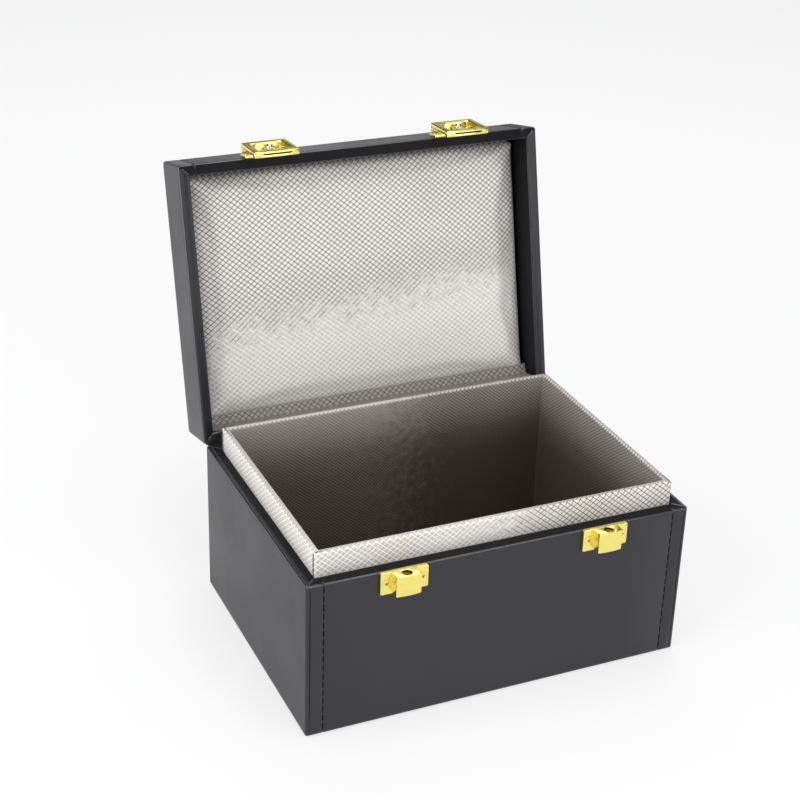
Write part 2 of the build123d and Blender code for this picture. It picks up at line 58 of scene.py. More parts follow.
# %% [markdown]
# ## The sizes that both models share
#
# These are the measures of the real box that a dressmaker of boxes would write
# down: the case, the rim, the tray that stands up inside it and the padded panel
# of the lid. The lid's pieces are all modelled shut, lying on the base, because
# flat work is easier to measure, and are swung open about the hinge at the end.

# %% Sizes of the box
HALF_WIDTH = 100.0
HALF_DEPTH = 72.0
BASE_FOOT = 0.8
BASE_TOP = 83.4
RIM = 6.5
LID_BOTTOM = 83.9
LID_TOP = 111.5
LID_RIM = 5.7
SEAM = 91.4
OPEN_ANGLE = 102.8
HINGE_Y = 72.9
HINGE_Z = 81.65
LATCHES = (-52.6, 52.6)
HINGES = (-55.0, 55.0)
STUD_REACH = 4.6
SIDES = ("front", "back", "left", "right")

hinge = Vector(mm(0, HINGE_Y, HINGE_Z))
turn = Matrix.Rotation(math.radians(-OPEN_ANGLE), 4, "X")
swing = Matrix.Translation(hinge) @ turn @ Matrix.Translation(-hinge)
shut = swing.inverted()
print("lid rim, open:", [round(value * 1000, 1) for value in swing @ Vector(mm(0, -HALF_DEPTH, LID_BOTTOM))])

# %% [markdown]
# ## The camera
#
# The box is seen from its front left corner and from above, through a long lens
# that keeps its edges nearly parallel. Place, turn and lens come from matching the
# box's own corners, so the view is a fixed part of the scene. The camera's three
# axes are written as right, up and back, and rolled a little.

# %% Camera
CAMERA_AT = Vector(mm(-332.90, -676.68, 501.58))
CAMERA_AZIMUTH = math.radians(24.534)
CAMERA_DIP = math.radians(26.546)
CAMERA_ROLL = math.radians(1.804)
CAMERA_LENS = 77.228

forward = Vector(
    (
        math.sin(CAMERA_AZIMUTH) * math.cos(CAMERA_DIP),
        math.cos(CAMERA_AZIMUTH) * math.cos(CAMERA_DIP),
        -math.sin(CAMERA_DIP),
    )
)
level_right = forward.cross(Vector((0, 0, 1))).normalized()
level_up = level_right.cross(forward)
right = level_right * math.cos(CAMERA_ROLL) + level_up * math.sin(CAMERA_ROLL)
up = level_up * math.cos(CAMERA_ROLL) - level_right * math.sin(CAMERA_ROLL)
bpy.ops.object.camera_add(location=CAMERA_AT)
camera = bpy.context.object
camera.rotation_euler = Matrix((right, up, -forward)).transposed().to_euler()
camera.data.sensor_width = 36.0
camera.data.lens = CAMERA_LENS
camera.data.clip_start = 0.05
camera.data.clip_end = 20.0
bpy.context.scene.camera = camera
print("camera lens", round(camera.data.lens, 2))

# %% [markdown]
# ## Building node trees
#
# World, floor and finishes are all built from shader nodes. A few functions place
# the nodes that come back most, and take sockets or plain numbers alike.


# %% Helpers for shader nodes
def add_node(tree, kind, inputs=(), **settings):
    """Places a shader node, makes its settings and fills its inputs."""
    node = tree.nodes.new("ShaderNode" + kind)
    for label, value in settings.items():
        setattr(node, label, value)
    for label, value in dict(inputs).items():
        if isinstance(value, bpy.types.NodeSocket):
            tree.links.new(value, node.inputs[label])
        else:
            node.inputs[label].default_value = value
    return node


def math_node(tree, operation, first, second=None):
    """A Math node on one value or two; returns its output."""
    values = {0: first} if second is None else {0: first, 1: second}
    return add_node(tree, "Math", values, operation=operation).outputs[0]


def noise(tree, vector, scale, detail=2.0):
    """A Noise Texture on a vector; returns its plain value."""
    return add_node(tree, "TexNoise", {"Vector": vector, "Scale": scale, "Detail": detail}).outputs[0]


def remap(tree, value, low, high, to_low=0.0, to_high=1.0, curve="LINEAR"):
    """Stretches a range of values to another and clamps it."""
    ends = {"From Min": low, "From Max": high, "To Min": to_low, "To Max": to_high}
    return add_node(tree, "MapRange", {"Value": value, **ends}, interpolation_type=curve).outputs[0]


def mix_colours(tree, mask, first, second):
    """A colour between two others, by a mask."""
    node = add_node(tree, "Mix", {"Factor": mask}, data_type="RGBA")
    for label, colour in (("A", first), ("B", second)):
        socket = [item for item in node.inputs if item.name == label and item.type == "RGBA"][0]
        if isinstance(colour, tuple):
            socket.default_value = (*colour, 1)
        else:
            tree.links.new(colour, socket)
    return [item for item in node.outputs if item.type == "RGBA"][0]


def direct_rays(tree):
    """One for rays from the camera, and for those that mirror or pass through."""
    rays = add_node(tree, "LightPath").outputs
    total = rays["Is Camera Ray"]
    for label in ("Is Glossy Ray", "Is Transmission Ray"):
        total = add_node(tree, "Math", {0: total, 1: rays[label]}, operation="ADD", use_clamp=True).outputs[0]
    return total


def blend_shaders(tree, mask, first, second, end):
    """Sends a blend of two shaders to the tree's end node."""
    blend = add_node(tree, "MixShader", {0: mask, 1: first.outputs[0], 2: second.outputs[0]})
    tree.links.new(blend.outputs[0], tree.nodes[end].inputs["Surface"])


print("helpers", add_node.__name__, mix_colours.__name__)

# %% [markdown]
# ## Studio light and floor
#
# Black leather and gilt metal show what they reflect more than their own colour,
# so the lamps are large and soft. The widest one stands to the left, where it lays
# a grey sheen on the box's side; weaker ones fill the front, hang overhead and
# stand behind. The world lights the box as a plain pale grey. The camera sees it
# white, and the reflections see a pale wall that darkens to a dark ceiling, which is
# what makes leather look black from above. The floor shows a plain pale colour to
# both and keeps part of the box's shadow, because it blends a glow and a plain
# surface.

# %% World
WHITE = 0.93
WALL_SHADE, CEILING_SHADE, CEILING_FROM = 0.72, 0.05, -0.34

bpy.context.scene.view_settings.view_transform = "Standard"
world = bpy.data.worlds.new("studio")
bpy.context.scene.world = world
world.use_nodes = True
tree = world.node_tree
room = tree.nodes["Background"]
room.inputs["Color"].default_value = (0.80, 0.81, 0.83, 1)
room.inputs["Strength"].default_value = 0.55
arriving = add_node(tree, "NewGeometry").outputs["Incoming"]
height = add_node(tree, "SeparateXYZ", {0: arriving}).outputs["Z"]
sweep = remap(tree, height, 0.0, CEILING_FROM, WALL_SHADE, CEILING_SHADE, "SMOOTHSTEP")
from_camera = add_node(tree, "LightPath").outputs["Is Camera Ray"]
white = add_node(tree, "Math", {0: from_camera, 1: WHITE, 2: sweep}, operation="MULTIPLY_ADD", use_clamp=True)
backdrop = add_node(tree, "Background", {"Color": white.outputs[0]})
blend_shaders(tree, direct_rays(tree), room, backdrop, "World Output")
print("world", world.name)


# %% Lamps
def soft_lamp(name, place, size, power):
    """A square lamp that faces the middle of the box."""
    bpy.ops.object.light_add(type="AREA", location=place)
    lamp = bpy.context.object
    lamp.name = name
    lamp.data.size = size
    lamp.data.energy = power
    direction = Vector((0, 0, 0.10)) - Vector(place)
    lamp.rotation_euler = direction.to_track_quat("-Z", "Y").to_euler()


soft_lamp("left_lamp", (-1.5, -0.25, 0.75), 1.3, 21)
soft_lamp("front_lamp", (0.5, -1.9, 0.9), 1.4, 14)
soft_lamp("top_lamp", (0.1, -0.3, 1.9), 1.4, 17)
soft_lamp("back_lamp", (0.5, 1.1, 1.7), 1.0, 9)

# %% Floor
GLOW_SHARE = 0.72

bpy.ops.mesh.primitive_plane_add(size=8, location=(0, 0, 0))
floor = bpy.context.object
floor.name = "studio_floor"
paper = bpy.data.materials.new("floor_paper")
paper.use_nodes = True
tree = paper.node_tree
matte = tree.nodes["Principled BSDF"]
matte.inputs["Base Color"].default_value = (0.88, 0.88, 0.88, 1)
matte.inputs["Roughness"].default_value = 0.9
matte.inputs["Specular IOR Level"].default_value = 0.1
glow = add_node(tree, "Emission", {"Color": (WHITE, WHITE, WHITE, 1)})
share = math_node(tree, "MULTIPLY", direct_rays(tree), GLOW_SHARE)
blend_shaders(tree, share, matte, glow, "Material Output")
floor.data.materials.append(paper)
print("floor", floor.name)

# %% [markdown]
# ## Shader groups: leather grain
#
# Coated leather cloth has a fine pebble grain, and a faint unevenness of the board
# under it. All three materials of black cloth need it, so it is a group with its own
# inputs. It puts out a height for the Bump node and a slow mask that varies the
# gloss, since fingers polish the cloth in some places more than in others.


# %% Group: leather grain
def new_group(name, inputs, outputs):
    """A shader node group with a vector and number sockets, and its two end nodes."""
    tree = bpy.data.node_groups.new(name, "ShaderNodeTree")
    tree.interface.new_socket("Vector", in_out="INPUT", socket_type="NodeSocketVector")
    for label, start in inputs.items():
        tree.interface.new_socket(label, in_out="INPUT", socket_type="NodeSocketFloat").default_value = start
    for label in outputs:
        tree.interface.new_socket(label, in_out="OUTPUT", socket_type="NodeSocketFloat")
    return tree, tree.nodes.new("NodeGroupInput").outputs, tree.nodes.new("NodeGroupOutput").inputs


leather_grain, given, result = new_group("leather_grain", {"Pebble": 1.0}, ("Height", "Polish"))
pebbles = add_node(leather_grain, "TexVoronoi", {"Vector": given["Vector"], "Scale": 1500}, feature="F1")
pebble_height = math_node(leather_grain, "MULTIPLY", pebbles.outputs["Distance"], given["Pebble"])
board_print = math_node(leather_grain, "MULTIPLY", noise(leather_grain, given["Vector"], 60, 3.0), 2.2)
leather_grain.links.new(math_node(leather_grain, "SUBTRACT", board_print, pebble_height), result["Height"])
leather_grain.links.new(noise(leather_grain, given["Vector"], 22, 4.0), result["Polish"])
print("group", leather_grain.name)

# %% [markdown]
# ## Shader groups: ripstop weave
#
# The shielding fabric is woven with silver threads, and a heavier thread crosses
# it every two and a half millimetres, on the diagonal, which makes small pillowed
# diamonds, wider than high. The weave follows the surface, so it reads the piece's UV
# map, where one unit is one metre of cloth. The group turns the map by an eighth of a
# turn, finds the distance to the nearest heavy thread each way, and puts out a mask
# for the threads of each direction, the height of the pillows and a fine tone for the
# threads between.

# %% Group: ripstop weave
FLATTENED = 1.22

ripstop, given, result = new_group(
    "ripstop_weave", {"Cells per metre": 400.0, "Thread": 0.2}, ("Rising", "Falling", "Height", "Yarn")
)
split = add_node(ripstop, "SeparateXYZ", {0: given["Vector"]}).outputs
along = math_node(ripstop, "MULTIPLY", split[1], FLATTENED)
edge_from = math_node(ripstop, "SUBTRACT", 1.0, given["Thread"])
pillows = []
for label, operation in (("Rising", "ADD"), ("Falling", "SUBTRACT")):
    diagonal = math_node(ripstop, "MULTIPLY", math_node(ripstop, operation, split[0], along), math.sqrt(0.5))
    cells = math_node(ripstop, "MULTIPLY", diagonal, given["Cells per metre"])
    part = math_node(ripstop, "FRACT", math_node(ripstop, "ADD", cells, 1000.0))
    off_middle = math_node(ripstop, "ABSOLUTE", math_node(ripstop, "SUBTRACT", part, 0.5))
    crossing = math_node(ripstop, "MULTIPLY", off_middle, 2.0)
    depth = math_node(ripstop, "DIVIDE", math_node(ripstop, "SUBTRACT", crossing, edge_from), given["Thread"])
    ripstop.links.new(remap(ripstop, depth, 0.0, 0.5), result[label])
    pillows.append(math_node(ripstop, "SUBTRACT", 1.0, math_node(ripstop, "POWER", crossing, 2.0)))
ripstop.links.new(math_node(ripstop, "MULTIPLY", *pillows), result["Height"])
yarn = {"Vector": given["Vector"], "Scale": 900, "Distortion": 1.5}
yarn = add_node(ripstop, "TexWave", yarn, wave_type="BANDS", bands_direction="DIAGONAL")
ripstop.links.new(yarn.outputs["Fac"], result["Yarn"])
print("group", ripstop.name)

# %% [markdown]
# ## Materials
#
# Each finish is a Principled BSDF of its own. The groups above only feed its
# colour, roughness and bump. Numbers that are the same all over a surface are set
# on the shader's own sockets.

# %% Black leather cloth
def new_material(name, colour, roughness, metallic=0.0, specular=0.5):
    """A material with one Principled BSDF, its plain values set on its own sockets."""
    material = bpy.data.materials.new(name)
    material.use_nodes = True
    shader = material.node_tree.nodes["Principled BSDF"].inputs
    shader["Base Color"].default_value = (*colour, 1)
    shader["Roughness"].default_value = roughness
    shader["Metallic"].default_value = metallic
    shader["Specular IOR Level"].default_value = specular
    return material, material.node_tree, shader


def object_coordinates(tree):
    """The piece's own coordinates, which are the box's, in metres."""
    return add_node(tree, "TexCoord").outputs["Object"]


def add_bump(tree, shader, height, distance, strength=1.0):
    """Bumps the shader's normal by a height."""
    bump = add_node(tree, "Bump", {"Distance": distance, "Strength": strength, "Height": height})
    tree.links.new(bump.outputs[0], shader["Normal"])


def leather_cloth(name, dark, light, roughness, specular):
    """Black coated cloth: a slow change of polish and the fine grain of the group."""
    material, tree, shader = new_material(name, dark, roughness, 0.0, specular)
    grain = add_node(tree, "Group", node_tree=leather_grain)
    tree.links.new(object_coordinates(tree), grain.inputs["Vector"])
    grain.inputs["Pebble"].default_value = 0.35
    polish = grain.outputs["Polish"]
    tree.links.new(remap(tree, polish, 0.3, 0.7, roughness - 0.05, roughness + 0.05), shader["Roughness"])
    tree.links.new(mix_colours(tree, polish, dark, light), shader["Base Color"])
    add_bump(tree, shader, grain.outputs["Height"], 0.00006)
    shader["Specular Tint"].default_value = (0.95, 0.94, 1.0, 1)
    return material


# The edge cloth is glossier, and its lighter colour is a painted highlight on the rims' rounded edges.
polished_highlight_cloth = leather_cloth("polished_leather_edge_painted_highlight", (0.020, 0.020, 0.022), (0.035, 0.035, 0.038), 0.26, 1.0)
black_cloth = leather_cloth("black_leather_cloth", (0.011, 0.011, 0.013), (0.017, 0.017, 0.020), 0.40, 0.5)
# The darkest cloth is painted shade, for the turned-in cloth and the rims' flat faces.
painted_shade_cloth = leather_cloth("leather_cloth_painted_shade", (0.005, 0.005, 0.006), (0.009, 0.009, 0.010), 0.55, 0.14)
print("materials", polished_highlight_cloth.name, black_cloth.name, painted_shade_cloth.name)

# %% [markdown]
# The fabric's material is the most involved. Its heavy threads are painted dark on
# pale cloth, and light on a duller cloth, a painted reflection that stands for how much
# light comes back from them. A number stored on the piece's points, "sheen", says how
# far that painted change has gone, and "depth" how far the cloth is painted a dull
# brown as shade, deep in the tray and in other shaded places.


# %% Shielding fabric
def silver_fabric(name, cell, metallic, roughness):
    """Silver-beige ripstop, with painted reflection and shade. The threads that rise turn light a little later than
    those that fall.
    """
    material, tree, shader = new_material(name, cell, roughness, metallic, 0.4)
    weave = add_node(tree, "Group", node_tree=ripstop)
    tree.links.new(add_node(tree, "UVMap", uv_map="cloth").outputs[0], weave.inputs["Vector"])
    # The sheen mark drives a painted reflection on the threads, and the depth mark a painted shade.
    sheen = add_node(tree, "Attribute", attribute_name="sheen").outputs["Fac"]
    depth = add_node(tree, "Attribute", attribute_name="depth").outputs["Fac"]
    mottle = remap(tree, noise(tree, object_coordinates(tree), 260), 0.3, 0.7, -0.14, 0.14)
    sheen = math_node(tree, "ADD", sheen, mottle)
    worn = remap(tree, noise(tree, object_coordinates(tree), 45, 3.0), 0.35, 0.75, 0.0, 0.16)
    colour = mix_colours(tree, sheen, cell, tuple(value * 0.70 for value in cell))
    colour = mix_colours(tree, worn, colour, (0.40, 0.37, 0.33))
    # Painted shade: the cloth and its light threads darken to brown where the depth mark is high.
    colour = mix_colours(tree, depth, colour, (0.085, 0.068, 0.052))
    light = mix_colours(tree, depth, (0.97, 0.95, 0.92), (0.27, 0.235, 0.19))
    for label, low, high in (("Rising", 0.42, 0.72), ("Falling", 0.30, 0.58)):
        thread = mix_colours(tree, remap(tree, sheen, low, high), tuple(value * 0.03 for value in cell), light)
        colour = mix_colours(tree, weave.outputs[label], colour, thread)
    tree.links.new(colour, shader["Base Color"])
    gloss = remap(tree, weave.outputs["Yarn"], 0, 1, roughness - 0.05, roughness + 0.07)
    tree.links.new(gloss, shader["Roughness"])
    add_bump(tree, shader, weave.outputs["Height"], 0.00012, 0.6)
    return material


panel_fabric = silver_fabric("panel_shielding_fabric", (0.80, 0.77, 0.735), 0.25, 0.42)
tray_fabric = silver_fabric("tray_shielding_fabric", (0.79, 0.75, 0.70), 0.20, 0.45)
print("materials", panel_fabric.name, tray_fabric.name)

# %% [markdown]
# The other finishes are a mix of two near colours by a noise. Where the surface is
# polished, the same noise varies its gloss, and where it is rough, it raises it.


# %% Gilt metal, steel, board and thread
def speckled(name, plain, size, colours, gloss=None, relief=0.0):
    """A finish of plain values, with a noise of a size and detail that mixes two colours."""
    material, tree, shader = new_material(name, *plain)
    speck = noise(tree, object_coordinates(tree), *size)
    tree.links.new(mix_colours(tree, speck, *colours), shader["Base Color"])
    if gloss:
        tree.links.new(remap(tree, speck, 0.3, 0.7, *gloss), shader["Roughness"])
    if relief:
        add_bump(tree, shader, speck, relief)
    return material, tree, shader


gilt, tree, shader = speckled(
    "gilt_casting",
    ((0.93, 0.78, 0.20), 0.20, 1.0),
    (180, 3.0),
    ((0.86, 0.72, 0.17), (0.98, 0.86, 0.27)),
    gloss=(0.15, 0.27),
)
add_bump(tree, shader, noise(tree, object_coordinates(tree), 420), 0.00004)
bright_gilt, _, _ = speckled(
    "gilt_screw",
    ((0.95, 0.76, 0.24), 0.16, 1.0),
    (900, 2.0),
    ((0.90, 0.70, 0.18), (0.98, 0.82, 0.32)),
    gloss=(0.12, 0.22),
)
# A dark brown painted into the hollows of the castings as shade.
hollow_shade, _, _ = speckled(
    "painted_shade_in_hollows", ((0.05, 0.03, 0.01), 0.55, 0.6, 0.3), (700, 3.0), ((0.02, 0.012, 0.005), (0.10, 0.06, 0.02))
)
shaded_gilt, _, _ = speckled(
    "shaded_gilt", ((0.50, 0.29, 0.05), 0.45, 0.9), (900, 2.0), ((0.36, 0.19, 0.03), (0.62, 0.38, 0.07))
)
nickel, _, _ = speckled(
    "bright_nickel",
    ((0.82, 0.78, 0.66), 0.14, 1.0),
    (600, 3.0),
    ((0.76, 0.72, 0.58), (0.86, 0.83, 0.72)),
    gloss=(0.10, 0.24),
)
greyboard, _, _ = speckled(
    "grey_board",
    ((0.40, 0.37, 0.33), 0.9, 0.0, 0.2),
    (800, 4.0),
    ((0.32, 0.295, 0.26), (0.47, 0.44, 0.39)),
    relief=0.0002,
)
bottom_cloth, _, _ = speckled(
    "bottom_flock",
    ((0.020, 0.020, 0.021), 0.95, 0.0, 0.15),
    (2500, 2.0),
    ((0.012, 0.012, 0.013), (0.032, 0.032, 0.034)),
    relief=0.00015,
)

black_thread, tree, shader = new_material("black_thread", (0.004, 0.004, 0.005), 0.8, 0.0, 0.1)
ply = {"Vector": object_coordinates(tree), "Scale": 900}
ply = add_node(tree, "TexWave", ply, bands_direction="DIAGONAL").outputs["Fac"]
tree.links.new(mix_colours(tree, ply, (0.002, 0.002, 0.002), (0.010, 0.010, 0.011)), shader["Base Color"])
add_bump(tree, shader, ply, 0.0001)
print("materials", len(bpy.data.materials))

# %% [markdown]
# ## Finishes for the CAD pieces that stay
#
# The boards, card and foam are hidden inside the cloth, and the pins are plain
# round rods, so their CAD shapes are right as they are. They keep their meshes and
# get a finish in their own material slots.

# %% Give the CAD nodes their finishes
def finish_for(node):
    """The finish of a CAD node, from what kind of piece it is."""
    if node.endswith("_wrap"):
        return black_cloth
    if "pin" in node or "stud" in node:
        return nickel
    if node.endswith("_screws"):
        return bright_gilt
    if node.startswith(("catch", "latch", "hinge")):
        return gilt
    if node == "base_bottom_sheet":
        return bottom_cloth
    if node.startswith("liner_fabric") or node == "floor_pad":
        return tray_fabric
    if node == "lid_panel_fabric":
        return panel_fabric
    return greyboard


for node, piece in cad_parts.items():
    piece.data.materials.clear()
    piece.data.materials.append(finish_for(node))
print("finished nodes", len(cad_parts))

# %% [markdown]
# ## Working by hand in code
#
# An operator in edit mode acts on the selected faces, edges or points. By hand
# they are picked with the mouse; here they are picked by a test on their place or
# their normal. A finished piece has its place in its mesh, rides on a body and
# stands for the CAD nodes that it replaces.


# %% Helpers for edit mode
def block(name, low, high):
    """A box between two corners in millimetres, left in edit mode."""
    low, high = Vector(mm(*low)), Vector(mm(*high))
    bpy.ops.mesh.primitive_cube_add(size=1, location=(low + high) / 2)
    piece = bpy.context.object
    piece.name = piece.data.name = name
    piece.scale = high - low
    bpy.ops.object.transform_apply(location=True, rotation=True, scale=True)
    bpy.ops.object.mode_set(mode="EDIT")
    return piece


def pick(piece, kind, test):
    """Selects the points, edges or faces of a piece in edit mode that pass a test."""
    bpy.ops.mesh.select_mode(type=kind)
    bpy.ops.mesh.select_all(action="DESELECT")
    mesh = bmesh.from_edit_mesh(piece.data)
    mesh.normal_update()
    items = {"VERT": mesh.verts, "EDGE": mesh.edges, "FACE": mesh.faces}[kind]
    chosen = [item for item in items if test(item)]
    for item in chosen:
        item.select_set(True)
    bmesh.update_edit_mesh(piece.data)
    return len(chosen)


def middle(item):
    """The middle of an edge or a face, in millimetres."""
    points = [vertex.co for vertex in item.verts]
    return sum(points, Vector()) / len(points) * 1000


def cut(piece, place, normal):
    """Cuts the whole piece along a plane, in millimetres."""
    bpy.ops.mesh.select_all(action="SELECT")
    bpy.ops.mesh.bisect(plane_co=mm(*place), plane_no=normal)


def slice_up(piece, across=(), back=(), up=()):
    """Cuts the piece at places along x, then y, then z."""
    for normal, places in (((1, 0, 0), across), ((0, 1, 0), back), ((0, 0, 1), up)):
        for place in places:
            cut(piece, [place * part for part in normal], normal)


def apply_modifier(piece, kind, **settings):
    """Adds a modifier, sets it and applies it."""
    bpy.context.view_layer.objects.active = piece
    modifier = piece.modifiers.new(kind.lower(), kind)
    for label, value in settings.items():
        setattr(modifier, label, value)
    bpy.ops.object.modifier_apply(modifier=modifier.name)


def along_face(face, point):
    """Where a point lies on the cloth: the two directions that its face lies along."""
    normal = [abs(value) for value in face.normal]
    x, y, z = point
    return ((y, z), (x, z), (x, y))[normal.index(max(normal))]


def lay_cloth(piece, place_of=along_face):
    """Writes a UV map in metres, from the millimetres that place_of gives."""
    mesh = bmesh.new()
    mesh.from_mesh(piece.data)
    layer = mesh.loops.layers.uv.new("cloth")
    for face in mesh.faces:
        for loop in face.loops:
            loop[layer].uv = mm(*place_of(face, loop.vert.co * 1000))
    mesh.to_mesh(piece.data)
    mesh.free()


def mark(piece, name, value_at):
    """Stores a number on each point of the piece, for its material to read."""
    layer = piece.data.attributes.new(name, "FLOAT", "POINT")
    layer.data.foreach_set("value", [value_at(vertex.co * 1000) for vertex in piece.data.vertices])


def finished(piece, body, material, replaces=(), opened=False, smooth=35, extra=()):
    """Leaves edit mode, smooths, swings open if it is the lid's, and joins the frame.

    Each extra material goes to the faces that pass its test.
    """
    if bpy.context.mode != "OBJECT":
        bpy.ops.object.mode_set(mode="OBJECT")
    bpy.ops.object.select_all(action="DESELECT")
    piece.select_set(True)
    bpy.context.view_layer.objects.active = piece
    bpy.ops.object.shade_smooth_by_angle(angle=math.radians(smooth))
    piece.data.materials.clear()
    piece.data.materials.append(material)
    for number, (other, test) in enumerate(extra, 1):
        piece.data.materials.append(other)
        for face in piece.data.polygons:
            if test(face):
                face.material_index = number
    if opened:
        piece.data.transform(swing)
    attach(piece, body)
    if replaces:
        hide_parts(*replaces)
    piece.select_set(False)
    print("made", piece.name, "with", len(piece.data.polygons), "faces")
    return piece


# %% [markdown]
# ## A case of leather cloth
#
# On the real box the cloth is pasted to the boards and turned in over the rim. The
# front is a separate length, sewn to the sides eight and a half millimetres from
# each corner. A cube gives the outside. The face on the rim's side is inset by the
# rim and pushed in for the turned-in edge, and the folds are rounded with bevels.
# Base and lid are the same work with other sizes, so the steps are functions.


# %% Helpers for the leather cases
ROUNDED = 1.6


def is_outer(point):
    """On one of the four outer walls of the box, with their rounded corners."""
    return abs(point.x) > HALF_WIDTH - ROUNDED or abs(point.y) > HALF_DEPTH - ROUNDED


def at_level(item, level):
    """All the item's points are at a height in millimetres."""
    return all(abs(vertex.co.z * 1000 - level) < 0.02 for vertex in item.verts)


def is_corner_post(edge):
    """An upright edge on one of the four outer corners."""
    x, y, _ = middle(edge)
    a, b = edge.verts
    upright = (a.co - b.co).xy.length < 1e-5
    return upright and abs(x) > HALF_WIDTH - 0.1 and abs(y) > HALF_DEPTH - 0.1


def bends(edge):
    """An edge where the surface turns, between two faces."""
    return edge.is_manifold and edge.calc_face_angle() > 0.6


def round_edges(piece, test, radius, steps):
    """Rounds the picked edges, of those where the surface turns."""
    count = pick(piece, "EDGE", lambda edge: bends(edge) and test(edge))
    bpy.ops.mesh.bevel(offset=mm(radius), segments=steps)
    return count


def leather_case(name, low, high, rim_level, rim, turn_in, under=0):
    """The outside, the rim and the turned-in edge of one half of the box."""
    up_or_down = 1 if rim_level == high else -1
    piece = block(name, (-HALF_WIDTH, -HALF_DEPTH, low), (HALF_WIDTH, HALF_DEPTH, high))
    pick(piece, "FACE", lambda face: face.normal.z * up_or_down > 0.9)
    bpy.ops.mesh.inset(thickness=mm(rim))
    bpy.ops.mesh.extrude_region_move(TRANSFORM_OT_translate={"value": mm(0, 0, -up_or_down * turn_in)})
    bpy.ops.mesh.delete(type="ONLY_FACE")
    if under:
        pick(piece, "FACE", lambda face: face.normal.z * up_or_down < -0.9)
        bpy.ops.mesh.inset(thickness=mm(under))
        bpy.ops.mesh.delete(type="ONLY_FACE")
    round_edges(piece, is_corner_post, 1.5, 4)
    round_edges(piece, lambda e: at_level(e, rim_level) and is_outer(middle(e)), 0.8, 3)
    round_edges(piece, lambda e: at_level(e, rim_level) and not is_outer(middle(e)), 0.7, 3)
    return piece


# %% [markdown]
# A plane cuts the piece along each seam and on both sides of it, and the points on
# the seam are sunk, which leaves a shallow valley for the thread. The mitre at each
# corner of the rim is opened by a narrow bevel and sunk as well, and the points round
# it are shaken a little, as the folded cloth never lies quite flat.


# %% Seams, mitres and creases
SEAM_HALF, SEAM_SINK = 0.45, 0.25
MITRE_SINK = 0.35
KNUCKLE_ROOM = 12.2
RIM_CORNER = 28.0
SHAKES_PER_METRE = 430


def is_folded(face, rim, rim_level):
    """On the cloth that is turned in over the rim, and at most 22 mm down inside."""
    point = face.center * 1000
    inside = abs(point.x) < HALF_WIDTH - rim + 0.1 and abs(point.y) < HALF_DEPTH - rim + 0.1
    return inside and 0.7 < abs(point.z - rim_level) < 22


def is_rounding(face, rim_level):
    """On a rounded edge of the rim, whose glossier cloth has a lighter colour as a painted highlight."""
    return abs(face.center.z * 1000 - rim_level) < 0.75 and 0.2 < abs(face.normal.z) < 0.93


def is_base_rim(face):
    """On the flat top of the base's rim, which is darkened as painted shade."""
    return face.normal.z > 0.97 and face.center.z > mm(80)


def is_front_rim(face):
    """On the front strip of the lid's rim, which is darkened as painted shade."""
    point = face.center * 1000
    return face.normal.z < -0.95 and point.y < LID_RIM - HALF_DEPTH and point.z < LID_BOTTOM + 0.5


def sink(piece, test, depth):
    """Sinks the picked points along the surface's own normals."""
    count = pick(piece, "VERT", test)
    bpy.ops.transform.shrink_fatten(value=-mm(depth))
    return count


def three_cuts(piece, x, half):
    """Three cuts close together on the left and three on the right."""
    slice_up(piece, across=[side * x + offset for side in (-1, 1) for offset in (-half, 0, half)])


def near_seam(vertex, rim_level):
    """A point on a seam line that shows from outside or on the rim."""
    x, y, z = vertex.co * 1000
    shows = abs(y) > HALF_DEPTH - 1 or (abs(z - rim_level) < 0.9 and abs(y) > HALF_DEPTH - 5.4)
    return abs(abs(x) - SEAM) < 0.02 and shows


def is_mitre(edge, rim_level):
    """The diagonal of the rim at a corner."""
    a, b = (vertex.co * 1000 for vertex in edge.verts)
    on_diagonal = all(abs(abs(p.x) - abs(p.y) - RIM_CORNER) < 0.05 for p in (a, b))
    return on_diagonal and at_level(edge, rim_level) and 2 < (a - b).length < 9


def is_on_mitre(point, rim_level):
    """On the diagonal line itself."""
    return abs(point.z - rim_level) < 0.1 and abs(abs(point.x) - abs(point.y) - RIM_CORNER) < 0.1


def is_rim_corner(point, rim_level):
    """On the rim, within 14 mm of one of its corners."""
    near = abs(point.x) > HALF_WIDTH - 14 and abs(point.y) > HALF_DEPTH - 14
    return near and abs(point.z - rim_level) < 1


def shake(piece, depth, shift):
    """Moves the selected points in or out a little, by a noise that depends on their place alone."""
    mesh = bmesh.from_edit_mesh(piece.data)
    mesh.normal_update()
    for vertex in [vertex for vertex in mesh.verts if vertex.select]:
        amount = 1.6 * solid_noise.noise(vertex.co * SHAKES_PER_METRE + Vector((shift, 0, 0)))
        vertex.co += vertex.normal * mm(depth) * max(-1.0, min(1.0, amount))
    bmesh.update_edit_mesh(piece.data)


def fold_corners(piece, rim_level, shift):
    """Opens and sinks the mitres, then shakes the cloth round them."""
    pick(piece, "EDGE", lambda e: is_mitre(e, rim_level))
    bpy.ops.mesh.bevel(offset=mm(0.5), segments=2)
    sink(piece, lambda v: is_on_mitre(v.co * 1000, rim_level), MITRE_SINK)
    pick(piece, "FACE", lambda f: is_rim_corner(middle(f), rim_level))
    bpy.ops.mesh.subdivide(number_cuts=2)
    shake(piece, 0.07, shift)


def is_back_edge(point, rim_level):
    """On the rounded edge at the hinge, but not at a corner or beside a knuckle."""
    free = abs(point.x) < HALF_WIDTH - 1.3 and abs(abs(point.x) - HINGES[1]) > KNUCKLE_ROOM + 0.05
    return free and point.y > HALF_DEPTH - 0.9 and abs(point.z - rim_level) < 0.85


def tighten_back_edge(piece, rim_level, outwards):
    """Draws the rounded edge at the hinge to a tight fold that stands out a little."""
    pick(piece, "VERT", lambda v: is_back_edge(v.co * 1000, rim_level))
    bpy.ops.transform.resize(value=(1, 0.35, 0.35), center_override=mm(0, HALF_DEPTH, rim_level + outwards * 0.05))
    bpy.ops.transform.translate(value=mm(0, 0.5, 0))


